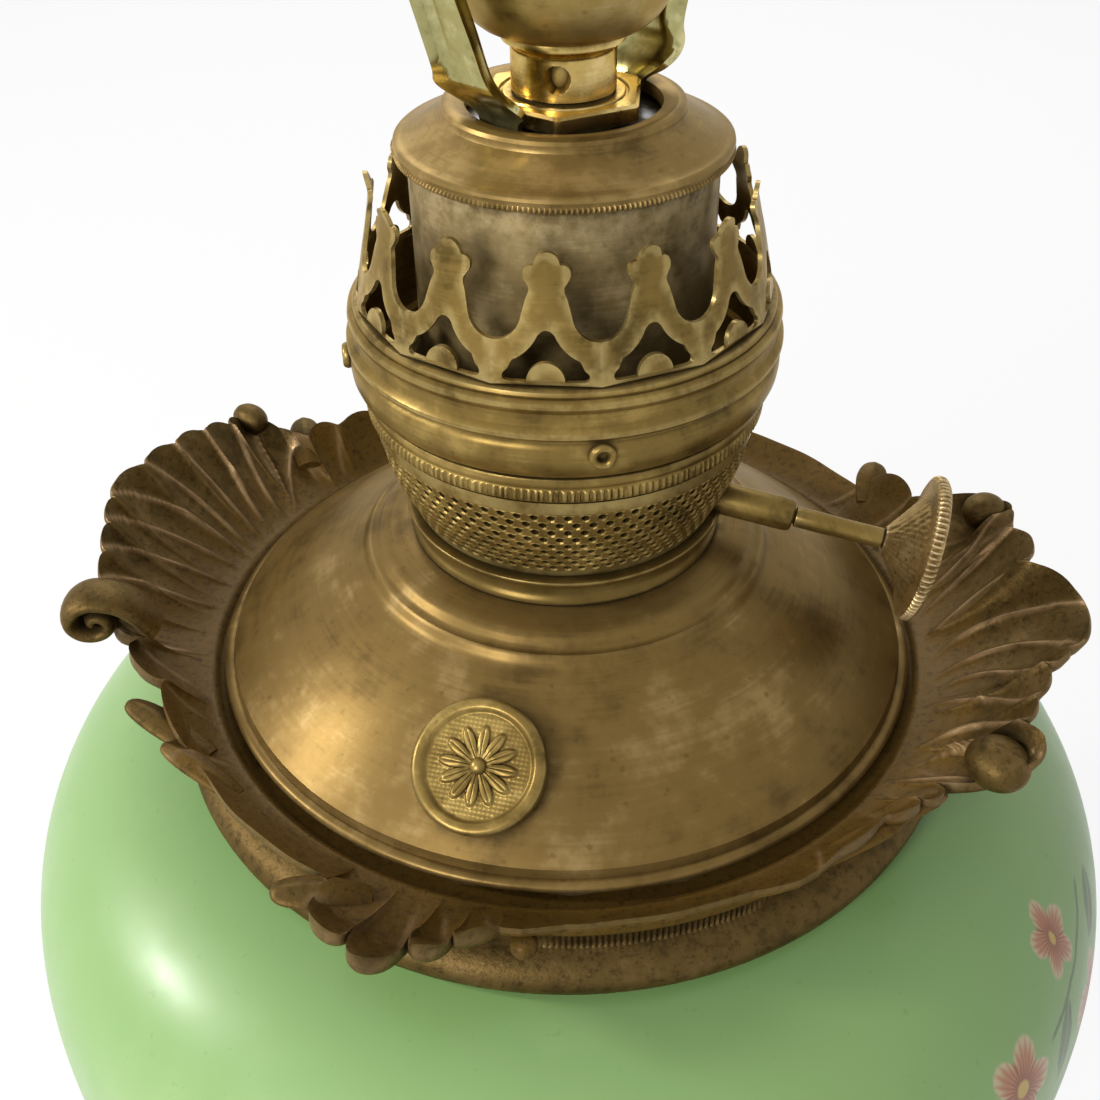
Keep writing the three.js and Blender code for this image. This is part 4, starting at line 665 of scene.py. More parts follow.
class Solid:
    """A mesh in the making; its methods return it, so that they can be chained."""

    def __init__(self) -> None:
        """Starts empty."""
        self.points: list[np.ndarray] = []
        self.faces: list[list[int]] = []
        self.count = 0

    def add(self, points: np.ndarray, faces: Iterable[Sequence[int]]) -> "Solid":
        """Adds points and faces.

        Args:
            points: the new points.
            faces: the new faces, counted from the first new point.

        Returns:
            This solid.
        """
        start = self.count
        block = np.asarray(points, float).reshape(-1, 3)
        self.points.append(block)
        self.faces.extend([start + i for i in face] for face in faces)
        self.count += len(block)
        return self

    def grid(self, points: np.ndarray, wrap_rows: bool = True, wrap_columns: bool = True) -> "Solid":
        """Adds a net of quads.

        Args:
            points: rows by columns by three numbers.
            wrap_rows: whether the last row joins the first.
            wrap_columns: whether the last column joins the first.

        Returns:
            This solid.
        """
        rows, columns = points.shape[:2]
        i = np.arange(rows if wrap_rows else rows - 1)[:, None]
        j = np.arange(columns if wrap_columns else columns - 1)[None, :]
        ahead, beside = (i + 1) % rows, (j + 1) % columns
        corners = (i * columns + j, ahead * columns + j, ahead * columns + beside, i * columns + beside)
        return self.add(points, np.stack(corners, axis=-1).reshape(-1, 4).tolist())

    def strand(self, net: np.ndarray, crown: float = 0) -> "Solid":
        """Adds a net round a path and closes both ends.

        Args:
            net: rows along the path by columns round it by three numbers.
            crown: how far the middle of the last end stands up, and that of the first down.

        Returns:
            This solid.
        """
        size = net.shape[1]
        self.grid(net, wrap_rows=False)
        first, last = net[0].mean(axis=0) - (0, 0, crown), net[-1].mean(axis=0) + (0, 0, crown)
        self.add(np.vstack([net[0], first]), [[i, (i + 1) % size, size] for i in range(size)])
        return self.add(np.vstack([net[-1], last]), [[(i + 1) % size, i, size] for i in range(size)])

    def revolve(self, profile: Profile, steps: int, swell: Swell = None) -> "Solid":
        """Turns a closed profile about the Z axis.

        Args:
            profile: radius and level of each point; points on the axis are merged later.
            steps: how many steps round.
            swell: takes the angles and a point's place and returns what is added to its radius.

        Returns:
            This solid.
        """
        angles = around(steps)
        net = np.zeros((steps, len(profile), 3))
        for j, (radius, level) in enumerate(profile):
            net[:, j] = laid(radius + (swell(angles, j) if swell else 0), angles, level)
        return self.grid(net)

    def sweep(self, path: np.ndarray, sections: np.ndarray, up: Point) -> "Solid":
        """Sweeps sections along a path and closes both ends.

        Args:
            path: points along the middle.
            sections: one closed outline for each point, as across and out.
            up: a direction that is never along the path; across is square to it.

        Returns:
            This solid.
        """
        along = unit(np.gradient(path, axis=0))
        across = unit(np.cross(along, up))
        out = np.cross(across, along)
        wide, high = sections[..., :1], sections[..., 1:]
        return self.strand(path[:, None] + wide * across[:, None] + high * out[:, None])

    def tube(self, path: np.ndarray, radius: float, up: Point, steps: int) -> "Solid":
        """Sweeps a round section along a path."""
        return self.sweep(path, np.repeat(circle(radius, steps)[None], len(path), axis=0), up)

    def plate(self, outer: np.ndarray, holes: Sequence[np.ndarray], place: Callable[[np.ndarray, float],
            np.ndarray], thickness: float, fine: float = 0) -> "Solid":
        """Adds a sheet cut to an outline with holes and laid on a surface.

        Args:
            outer: the outline, counter-clockwise.
            holes: the outlines of its holes.
            place: takes flat points and a depth and returns points in space.
            thickness: the sheet's thickness.
            fine: the spacing of extra points inside, or 0 for none.

        Returns:
            This solid.
        """
        loops = [np.asarray(loop, float) for loop in (outer, *holes)]
        flat = [Vector(point) for loop in loops for point in loop]
        rims, start = [], 0
        for loop in loops:
            rims.append([start + i for i in range(len(loop))])
            start += len(loop)
        if fine:
            low, high = loops[0].min(axis=0), loops[0].max(axis=0)
            for row, y in enumerate(np.arange(low[1] + fine, high[1], fine)):
                flat.extend(Vector((x, y)) for x in np.arange(low[0] + fine * (row % 2) / 2, high[0], fine))
        made = delaunay_2d_cdt(flat, [], rims, 2, 1e-6)
        spots = np.array([point[:] for point in made[0]])
        keep = [face for face in made[2] if self.inside(spots[list(face)].mean(axis=0), loops)]
        used = sorted({i for face in keep for i in face})
        order = {old: new for new, old in enumerate(used)}
        faces = [[order[i] for i in face] for face in keep]
        edges = dict.fromkeys((a, face[(i + 1) % len(face)]) for face in faces for i, a in enumerate(face))
        size = len(used)
        walls = [[b, a, a + size, b + size] for a, b in edges if (b, a) not in edges]
        backs = [[i + size for i in reversed(face)] for face in faces]
        points = np.vstack([place(spots[used], 0), place(spots[used], thickness)])
        return self.add(points, faces + backs + walls)

    @staticmethod
    def inside(point: np.ndarray, loops: Sequence[np.ndarray]) -> bool:
        """Whether a flat point lies in the first loop and in none of the others.

        Args:
            point: the point.
            loops: the outline and its holes.

        Returns:
            True if it is on the sheet.
        """
        crossings = 0
        for loop in loops:
            a, b = loop, np.roll(loop, -1, axis=0)
            spans = (a[:, 1] > point[1]) != (b[:, 1] > point[1])
            rise = np.where(spans, b[:, 1] - a[:, 1], 1)
            reach = a[:, 0] + (point[1] - a[:, 1]) * (b[:, 0] - a[:, 0]) / rise
            crossings += int((spans & (reach > point[0])).sum())
        return crossings % 2 == 1

    def ball(self, centre: Point, radius: float, steps: int = 10) -> "Solid":
        """Adds a small bead."""
        rise = np.linspace(-math.pi / 2, math.pi / 2, steps // 2 + 1)
        return self.grid(laid(np.cos(rise), around(steps)[:, None], np.sin(rise)) * radius + centre,
            wrap_columns=False)

    def moved(self, matrix: Matrix) -> "Solid":
        """Moves everything so far.

        Args:
            matrix: the movement.

        Returns:
            This solid.
        """
        m = np.array(matrix)
        self.points = [block @ m[:3, :3].T + m[:3, 3] for block in self.points]
        return self

    def copies(self, degrees: Iterable[float]) -> "Solid":
        """This solid repeated round the Z axis.

        Args:
            degrees: how far each copy is turned.

        Returns:
            A new solid with all the copies.
        """
        whole = Solid()
        points = np.vstack(self.points)
        for angle in degrees:
            whole.add(points @ np.array(spun(angle))[:3, :3].T, self.faces)
        return whole

    def piece(self, name: str, finish: Finish, body: str, *nodes: str,
            crease: float = 38) -> bpy.types.Object:
        """Makes the Blender object.

        Args:
            name: the piece's name.
            finish: what it is made of.
            body: the body it rides on.
            nodes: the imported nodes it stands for.
            crease: the angle in degrees over which an edge stays sharp.

        Returns:
            The object.
        """
        points = (np.vstack(self.points) + (0, 0, RIM_HEIGHT)) / MILLI
        mesh = bpy.data.meshes.new(name)
        mesh.from_pydata(points.tolist(), [], self.faces)
        work = bmesh.new()
        work.from_mesh(mesh)
        bmesh.ops.remove_doubles(work, verts=work.verts, dist=2e-6)
        bmesh.ops.dissolve_degenerate(work, edges=work.edges, dist=1e-7)
        bmesh.ops.recalc_face_normals(work, faces=work.faces)
        work.to_mesh(mesh)
        work.free()
        mesh.shade_smooth()
        mesh.set_sharp_from_angle(angle=math.radians(crease))
        thing = placed(name, mesh)
        thing.data.materials.append(Finishes.of(finish))
        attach(thing, body)
        if nodes:
            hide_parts(*nodes)
        finish.slot or finish.name
        log.info("%s: %d faces", name, len(mesh.polygons))
        return thing


def placed(name: str, data: bpy.types.ID) -> bpy.types.Object:
    """Puts a new object in the scene.

    Args:
        name: its name.
        data: its mesh, light or camera.

    Returns:
        The object.
    """
    thing = bpy.data.objects.new(name, data)
    bpy.context.scene.collection.objects.link(thing)
    return thing


def surveyed(mesh: bpy.types.Mesh) -> tuple[np.ndarray, np.ndarray, np.ndarray]:
    """Measures a made mesh.

    Args:
        mesh: the mesh.

    Returns:
        The radii, angles and levels of its points.
    """
    points = np.empty(len(mesh.vertices) * 3)
    mesh.vertices.foreach_get("co", points)
    x, y, z = points.reshape(-1, 3).T * MILLI
    return np.hypot(x, y), np.arctan2(y, x), z - RIM_HEIGHT


def stored(mesh: bpy.types.Mesh, name: str, values: np.ndarray) -> None:
    """Stores one number on each point of a mesh, for its finish."""
    layer = mesh.attributes.new(name, "FLOAT", "POINT")
    layer.data.foreach_set("value", values.astype(np.float32))


class Finishes:
    """The lamp's finishes, each made once."""

    made: dict[str, bpy.types.Material] = {}

    @classmethod
    def of(cls, finish: Finish) -> bpy.types.Material:
        """The material of a finish.

        Args:
            finish: the finish.

        Returns:
            Its material.
        """
        if finish.name not in cls.made:
            cls.made[finish.name] = finish.build()
        return cls.made[finish.name]


# The finishes of this lamp

AGED_BRASS = OldMetal("aged_brass", (0.31, 0.212, 0.084), (0.17, 0.106, 0.031), (0.092, 0.056, 0.016),
    (0.04, 0.023, 0.006), (0.42, 0.33, 0.18), smooth=0.3, dull=0.46, corner=4.0, metal=0.55)
BURNER_BRASS = OldMetal("burner_brass", (0.36, 0.25, 0.075), (0.19, 0.124, 0.033), (0.085, 0.055, 0.014),
    (0.03, 0.019, 0.005), (0.46, 0.35, 0.14), smooth=0.25, dull=0.44, cloud=18.0, corner=2.5, metal=0.6)
# A darker copy of the burner brass for the neck: painted shade on the neck band.
SHADED_NECK_BRASS = replace(BURNER_BRASS, name="shaded_neck_brass", slot="burner_brass", bright=(0.24, 0.16, 0.05),
    plain=(0.13, 0.084, 0.022))
DARK_CASTING = OldMetal("dark_casting", (0.165, 0.105, 0.04), (0.1, 0.062, 0.018), (0.056, 0.036, 0.011),
    (0.024, 0.014, 0.004), (0.36, 0.235, 0.12), lay=Lay.NONE, smooth=0.34, dull=0.56, cloud=14.0, grain=0.8,
    casting=0.17, corner=4.0, wear=0.0, metal=0.6)
FOOT_CASTING = replace(DARK_CASTING, name="foot_metal", slot="dark_casting", wear=0.3)
TARNISHED_SLEEVE = OldMetal("tarnished_sleeve", (0.37, 0.275, 0.13), (0.2, 0.143, 0.058),
    (0.085, 0.06, 0.021), (0.03, 0.019, 0.006), (0.5, 0.41, 0.24), smooth=0.28, dull=0.5, cloud=11.0,
    corner=6.0, metal=0.45)
POLISHED_BRASS = OldMetal("polished_brass", (0.74, 0.57, 0.25), (0.54, 0.385, 0.125), (0.22, 0.134, 0.03),
    (0.05, 0.03, 0.006), (0.7, 0.56, 0.26), smooth=0.16, dull=0.36, cloud=12.0, corner=2.0, relief=0.012)
PALE_STRAP = OldMetal("pale_strap_brass", (0.58, 0.55, 0.29), (0.38, 0.35, 0.15), (0.2, 0.18, 0.07),
    (0.07, 0.055, 0.02), (0.7, 0.62, 0.32), lay=Lay.NONE, smooth=0.12, dull=0.3, cloud=9.0, corner=2.5,
    relief=0.01, slot="polished_brass")
WIRE_BRASS = OldMetal("wire_brass", (0.66, 0.5, 0.2), (0.48, 0.35, 0.12), (0.27, 0.19, 0.06),
    (0.06, 0.04, 0.012), (0.75, 0.6, 0.3), lay=Lay.DRAWN, smooth=0.14, dull=0.32, cloud=14.0, corner=2.0,
    relief=0.008, slot="polished_brass")
PLAIN_STEEL = OldMetal("plain_steel", (0.5, 0.5, 0.5), (0.36, 0.36, 0.37), (0.2, 0.19, 0.18),
    (0.08, 0.06, 0.04), (0.62, 0.62, 0.62), smooth=0.25, dull=0.45, cloud=9.0, tint=WHITE)
BLACK_MOULDING = PlainStuff("black_moulding", (0.03, 0.028, 0.026), (0.014, 0.013, 0.012), 0.38, 0.5, 0.02,
    coat=0.15)
PALE_FIBRE = PlainStuff("pale_fibre", (0.5, 0.42, 0.27), (0.3, 0.235, 0.14), 0.8, 0.5, 0.05)
WHITE_PLASTER = PlainStuff("white_plaster", (0.66, 0.61, 0.5), (0.4, 0.35, 0.26), 0.85, 1.2, 0.2)
CORK_RING = PlainStuff("cork_ring", (0.27, 0.155, 0.075), (0.1, 0.055, 0.025), 0.85, 0.6, 0.12)
CAST_PORCELAIN = PlainStuff("cast_porcelain", (0.78, 0.75, 0.68), (0.6, 0.56, 0.47), 0.28, 0.8, 0.03,
    coat=0.3)
CAP_BRASS = OldMetal("cap_brass", (0.36, 0.245, 0.09), (0.215, 0.14, 0.044), (0.11, 0.068, 0.02),
    (0.03, 0.018, 0.005), (0.5, 0.37, 0.17), smooth=0.26, dull=0.44, cloud=15.0, corner=2.5, wear=0.0,
    metal=0.55, slot="aged_brass")
WHEEL_BRASS = OldMetal("wheel_brass", (0.5, 0.36, 0.16), (0.32, 0.215, 0.08), (0.15, 0.095, 0.033),
    (0.05, 0.03, 0.01), (0.62, 0.48, 0.28), lay=Lay.NONE, smooth=0.24, dull=0.46, cloud=8.0, grain=0.6,
    casting=0.08, corner=1.2, wear=0.9, metal=0.7, slot="burner_brass")
PAINTED_GLASS = PaintedGlass()


# Base: foot, cup, glass and collar


@dataclass
class Foot:
    """The cast foot on four scroll feet, the cup over it and the cord gland."""

    table: float = -193.0
    outer: tuple = ((30, -144.53), (30, -148.5), (27.2, -152), (27, -156.5), (33.4, -160.2), (45, -163),
        (54.5, -167.4), (62, -174), (65.2, -176.5), (67.2, -178.2), (67.2, -180))
    inner: tuple = ((60.8, -180), (50.4, -169.6), (23.8, -159.7), (23.8, -148.6), (5.1, -148.6),
        (5.1, -144.53))
    gadroons: int = 24
    gadroon_depth: float = 1.1
    scroll_width: float = 16.0
    scroll_thickness: float = 5.0
    beads: int = 64

    def build(self) -> None:
        """Makes the foot, its cup and the gland."""
        self.casting()
        self.cup()
        self.gland()

    def casting(self) -> None:
        """The domed casting with its gadroons, bead row and scroll feet."""
        curve = spline(self.outer, 6)
        profile = [*curve, *self.inner]
        weights = [*np.exp(-(((curve[:, 0] - 50) / 9) ** 2)), *(0.0 for _ in self.inner)]

        def swell(angles: np.ndarray, j: int) -> np.ndarray:
            """How far the gadroons stand out at one level."""
            lobes = np.abs(np.cos(angles * self.gadroons / 2)) ** 0.7 - 0.6
            return weights[j] * self.gadroon_depth * 2 * lobes

        foot = Solid().revolve(profile, 384, swell)
        for x, y in circle(64.9, self.beads):
            foot.ball((x, y, -176.2), 1.5)
        path = spline([(50, 0, -168.5), (58, 0, -169.5), (66, 0, -172.5), (73.5, 0, -178), (77, 0, -184.5),
            (75.4, 0, -189.2), (70.5, 0, -190.4), (66.8, 0, -187.6), (67.4, 0, -183.8), (70.6, 0, -183.2)], 7)
        share = np.linspace(0, 1, len(path))
        width = self.scroll_width / 2 * (1.0 - 0.32 * share + 0.1 * np.sin(share * 9))
        thick = self.scroll_thickness / 2 * (1.0 - 0.25 * share)
        across, out = circle(1, 28).T
        ribs = 1.0 + 0.22 * np.cos(across * 2.5 * math.pi) * (out > 0)
        outline = np.stack([np.sign(across) * np.abs(across) ** 0.6,
            np.sign(out) * np.abs(out) ** 0.7 * ribs], axis=1)
        sections = outline * np.stack([width, thick], axis=1)[:, None]
        scroll = Solid().sweep(path, sections[..., ::-1], (0, 1, 0))
        for side in (-1, 1):
            scroll.ball((70.6, side * 5.2, -185.6), 3.2, 16)
        whole = scroll.copies((45, 135, 225, 315))
        points = np.vstack(whole.points)
        points[:, 2] = np.maximum(points[:, 2], self.table + 0.05)
        foot.add(points, whole.faces)
        foot.piece("cast_foot", FOOT_CASTING, "base", "foot_casting")

    def cup(self) -> None:
        """The spun cup that carries the glass, with a roped lip."""
        profile = [(5.1, -136.6), (40, -136.6), (48.5, -135.6), (56, -133.7), (58, -133.4), (58.2, -134.6),
            (57, -135.9), (49, -137.7), (41.5, -138.8), (31.5, -139.2), (31, -140.4), (31.8, -141.6),
            (30.6, -142.6), (30.4, -144.2), (5.1, -144.2)]
        rounded = softened(profile, 1, 3)

        def rope(angles: np.ndarray, j: int) -> np.ndarray:
            """Small twists round the lip."""
            near = math.exp(-(((rounded[j][0] - 58) / 1.2) ** 2))
            return near * 0.28 * np.cos(angles * 120 + rounded[j][1] * 2)

        Solid().revolve(rounded, 960, rope).piece("spun_cup", AGED_BRASS, "base", "foot_cup")

    def gland(self) -> None:
        """The moulded gland for the cord, in the back of the foot."""
        profile = softened([(3, -6.4), (4.4, -6.4), (4.4, 6.7), (6.6, 6.7), (6.6, 8.3), (5.6, 8.9),
            (3.6, 8.9), (3, 8.2)], 0.3, 2)
        gland = Solid().revolve(profile, 48)
        gland.moved(Matrix.Translation((0, 60.8, -173)) @ Matrix.Rotation(-math.pi / 2, 4, "X"))
        gland.piece("cord_gland", BLACK_MOULDING, "base", "cord_bushing")


@dataclass
class GlassBody:
    """The squat glass body: a squared-off ellipse for the shoulder, a rounder one for the belly."""

    radius: float = 110.4
    belt: float = -68.2
    rise: float = 56.3
    rise_power: float = 3.2
    fall: float = 70.0
    fall_power: float = 2.6
    wall: float = 3.4
    mouth: float = 62.0
    floor: float = 40.0
    hole: float = 5.1
    steps: int = 28

    def bulge(self, rise: float, power: float, inset: float, end: float) -> Profile:
        """One quarter of the wall.

        Args:
            rise: how far it rises over the belt.
            power: how square it is.
            inset: how far it lies inside the outer face.
            end: the radius at which it stops.

        Returns:
            Its points from the belt to the end.
        """
        radius = self.radius - inset
        last = math.acos((end / radius) ** (power / 2))
        angles = [last * i / self.steps for i in range(self.steps + 1)]
        return [(radius * math.cos(a) ** (2 / power), self.belt + rise * math.sin(a) ** (2 / power))
            for a in angles]

    def wall_at(self, inset: float) -> Profile:
        """The whole wall at one depth.

        Args:
            inset: how far it lies inside the outer face.

        Returns:
            Its points from floor to mouth.
        """
        belly = self.bulge(-(self.fall - inset), self.fall_power, inset, self.floor)
        shoulder = self.bulge(self.rise - inset, self.rise_power, inset, self.mouth)
        return belly[::-1] + shoulder[1:]

    def build(self) -> None:
        """Makes the glass."""
        outer, inner = self.wall_at(0), self.wall_at(self.wall)
        profile = [(self.hole, outer[0][1]), *outer, *inner[::-1], (self.hole, inner[0][1])]
        Solid().revolve(profile, 240).piece("painted_glass", PAINTED_GLASS, "base", "glass_body")


@dataclass(frozen=True)
class Ridge:
    """A raised line between two flutes.

    directions are at the shares 0.1, 0.4, 0.7 and 1 of the way out, and notch is the edge's reach where the
    ridge meets it, or 0 where it cuts no notch. A roped ridge is a row of small beads.
    """

    directions: tuple[float, float, float, float]
    notch: float = 0.0
    roped: bool = False


@dataclass(frozen=True)
class Ornament:
    """A shell or leaf of the collar: its ridges in order, the reach of each lobe and its rise."""

    ridges: tuple[Ridge, ...]
    tips: tuple[float, ...]
    rise: float
    flute: float

    def turned(self) -> "Ornament":
        """The same ornament half a turn on."""
        ridges = [replace(ridge, directions=tuple(d + 180.0 for d in ridge.directions))
            for ridge in self.ridges]
        return replace(self, ridges=tuple(ridges))

    def aside(self, degrees: np.ndarray) -> tuple[np.ndarray, float, float]:
        """How far directions lie from the ornament's middle, with that middle and its half span."""
        first, last = self.ridges[0].directions[3], self.ridges[-1].directions[3]
        middle, half = (first + last) / 2, abs(last - first) / 2
        return (degrees - middle + 180) % 360 - 180, middle, half

    def edge(self, degrees: np.ndarray) -> tuple[np.ndarray, np.ndarray]:
        """The ornament's edge.

        Args:
            degrees: directions round the lamp.

        Returns:
            Its reach, or 0 beside it, and how much it swells there from 0 to 1.
        """
        aside, middle, half = self.aside(degrees)
        swell = np.clip(1 - np.abs(aside / half) ** 2.4, 0, 1) ** 0.7
        reach = np.zeros(degrees.shape)
        stops = sorted((ridge.directions[3] - middle, ridge.notch) for ridge in self.ridges if ridge.notch)
        tips = self.tips if self.ridges[0].directions[3] < self.ridges[-1].directions[3] else self.tips[::-1]
        for (start, low), (end, high), tip in zip(stops, stops[1:], tips):
            share = (aside - start) / (end - start)
            bow = np.sqrt(np.clip(4 * share * (1 - share), 0, 1))
            lobe = low + (high - low) * share + (tip - (low + high) / 2) * bow
            reach = np.where((share >= 0) & (share <= 1), lobe, reach)
        return reach, swell

    def flow(self, degrees: np.ndarray, share: float) -> tuple[np.ndarray, np.ndarray, np.ndarray]:
        """Where directions lie among the ridges.

        Args:
            degrees: directions round the lamp.
            share: how far out from the channel to the edge.

        Returns:
            The place across a flute from -1 to 1, the degrees to the nearest ridge, and 1 at a roped one.
        """
        aside, middle, _ = self.aside(degrees)
        lines = []
        for ridge in self.ridges:
            bend = np.polyfit((0.1, 0.4, 0.7, 1), np.array(ridge.directions) - middle, 3)
            lines.append((float(np.polyval(bend, share)), float(ridge.roped)))
        lines.sort()
        place = np.ones(degrees.shape)
        near = np.full(degrees.shape, 9)
        roped = np.zeros(degrees.shape)
        for (start, _), (end, _) in zip(lines, lines[1:]):
            across = (aside - start) / max(end - start, 0.1) * 2 - 1
            place = np.where(np.abs(across) <= 1, across, place)
        for line, rope in lines:
            apart = np.abs(aside - line)
            roped = np.where(apart < near, rope, roped)
            near = np.minimum(near, apart)
        return place, near, roped


@dataclass(frozen=True)
class Finger:
    """A leaf finger on the collar: root and tip as direction, reach and level, with its half width."""

    root: Point
    tip: Point
    half: float


@dataclass(frozen=True)
class Knob:
    """A rolled leaf end: its middle as direction, reach and level, its half sizes and how it is turned."""

    place: Point
    size: Point
    turn: float = 0.0


@dataclass
class Collar:
    """The cast collar: one section swept round the lamp, raised and fluted by its ornaments."""

    channel: float = 67.4
    channel_level: float = -1.6
    edge: float = 74.5
    edge_level: float = 1.5
    bare: float = 3.4
    bare_direction: float = -79.0
    bare_half: float = 17.0
    lip: float = 1.4
    wall: tuple = ((70, 0), (72.2, 0.2), (73.5, 1.4), (73.9, 2.9), (73.4, 4.4), (72.2, 5.7), (70.6, 6.7),
        (69.3, 7.3))
    bore: tuple = ((66.8, -2), (66.3, -2.5), (65.9, -2.9), (61.8, -2.9), (61.8, -5.3), (66, -6.5))
    steps: int = 1800
    across: int = 44
    ribs: int = 450
    right_shell: Ornament = Ornament(
        (Ridge((10, 12, 14.5, 16.5), 76), Ridge((3, 5.2, 7, 8.4), 85), Ridge((0, 2.4, 3.4, 3.8), 84.4),
         Ridge((-5.8, -2.9, -2.2, -5), 82.6), Ridge((-10.4, -7.6, -8.8, -12.6)),
         Ridge((-14.8, -12.3, -14.2, -19.7), 88.4), Ridge((-18.2, -16.1, -19.4, -22.6), 85.6),
         Ridge((-21.2, -21.4, -24.6, -26.9), 85.2), Ridge((-31.5, -27.4, -28.2, -30.2), 84.6),
         Ridge((-35.5, -30.6, -31, -32.8), 0, True), Ridge((-38.5, -36, -35.6, -38), 75)),
        (89.5, 86.9, 87, 92.2, 89.2, 87.4, 86.6, 88.6), 18.6, 0.6)
    left_shell: Ornament = Ornament(
        (Ridge((147, 142.5, 139.5, 137.5), 76), Ridge((148, 144.5, 143, 142.5), 0, True),
         Ridge((150, 148.6, 147, 146), 85.6), Ridge((154, 152.4, 151, 151), 86.4),
         Ridge((157, 155.6, 155.4, 156.4), 87.2), Ridge((160, 159, 159.5, 162.3), 88.4),
         Ridge((162, 161.8, 163.6, 169.6), 89.4), Ridge((165.5, 166, 168.6, 173.8), 88),
         Ridge((170, 171, 173.6, 178), 87.2), Ridge((176, 177, 178.6, 182), 86.4),
         Ridge((187, 187, 187, 187.5), 78)),
        (88, 87.8, 88.6, 89.8, 91.6, 90.2, 88.8, 88, 87), 18.6, 0.55)
    palmette: Ornament = Ornament(
        (Ridge((-116.4, -117.8, -119, -120.2), 77), Ridge((-113, -113.1, -113.2, -113.2), 82),
         Ridge((-109.6, -109, -108.2, -107.2), 80.8), Ridge((-106.4, -105.2, -104.2, -103), 78.6),
         Ridge((-101.4, -100.4, -99.6, -98.4), 73.6)),
        (84.2, 87.6, 83, 78), 5.8, -2)
    leaf_pair: Ornament = Ornament(
        (Ridge((-170, -171.4, -172.8, -176.6), 80), Ridge((-164, -166.5, -169, -171.6), 79),
         Ridge((-157, -158.5, -160, -161.6), 74.8), Ridge((-147, -148.2, -149, -150), 74.4)),
        (84.8, 80.6, 76.2), 6.8, -1.4)
    blades: Ornament = Ornament(
        (Ridge((-34, -35, -36.4, -37.9), 75), Ridge((-40.5, -41, -41.7, -42.4), 75.4),
         Ridge((-45.5, -46, -47, -48), 73), Ridge((-55, -56, -57.5, -59), 71.8)),
        (78.8, 76.8, 74.9), 5, -1.1)
    fingers: tuple[Finger, ...] = (
        Finger((-48, 71, -1.6), (-38.6, 78.4, 3.6), 2.2), Finger((-57, 70.6, -1.8), (-45.4, 75.6, 2.2), 1.9),
        Finger((-115.5, 72.4, -0.6), (-124.6, 81.2, 3), 3), Finger((-150, 71.4, -0.4), (-161, 82, 4.2), 2.6),
        Finger((-141.5, 71, -1), (-152.6, 78.2, 3.2), 2.2), Finger((64.5, 72.4, -0.6), (55.4, 81.2, 3), 3),
        Finger((139, 74, 2.6), (133.6, 85.6, 6.4), 3.4), Finger((27, 73, 1.6), (31.6, 79.6, 6.2), 3),
    )
    knobs: tuple[Knob, ...] = (
        Knob((11.6, 85.6, 11), (4.4, 4.2, 3.6), 8), Knob((-34.1, 83.6, 7.8), (5.4, 5, 4.2), -20),
        Knob((141.6, 88, 11.4), (4.4, 3.2, 3.2), 0), Knob((-95.8, 73.6, -1.8), (2.4, 2.2, 2), 0),
        Knob((84.2, 73.6, -1.8), (2.4, 2.2, 2), 0),
    )

    def ornaments(self) -> list[Ornament]:
        """Every ornament: the two shells, and the smaller ones with their copies half a turn on."""
        small = [self.palmette, self.leaf_pair, self.blades]
        back = [replace(ornament.turned(), rise=rise) for ornament, rise in zip(small, (5.8, 10.5, 9.5))]
        return [self.right_shell, self.left_shell, *small, *back]

    def shoulder(self, radius: float) -> float:
        """The glass's level under the collar at a radius."""
        body = GlassBody()
        share = 1 - (radius / body.radius) ** body.rise_power
        return body.belt + body.rise * share ** (1 / body.rise_power)

    def bareness(self, degrees: np.ndarray) -> np.ndarray:
        """Where the collar has no overhang, from 0 to 1: at the front right and at the back."""
        aside = (degrees - self.bare_direction + 90) % 180 - 90
        return np.clip((self.bare_half - np.abs(aside)) / 5, 0, 1)

    def edge_at(self, degrees: np.ndarray) -> tuple[np.ndarray, np.ndarray]:
        """The collar's outer edge.

        Args:
            degrees: directions round the lamp.

        Returns:
            Its reach and level.
        """
        bare = self.bareness(degrees)
        ripple = np.sin(np.radians(degrees * 23)) * np.sin(np.radians(degrees * 7))
        reach = self.edge - self.bare * bare + 0.25 * ripple
        level = self.edge_level - 2.6 * bare
        for ornament in self.ornaments():
            out, swell = ornament.edge(degrees)
            more = out > reach
            reach = np.where(more, out, reach)
            raised = self.edge_level + (ornament.rise - self.lip - self.edge_level) * swell
            level = np.where(out > 0, np.maximum(level, raised), level)
        return reach, level

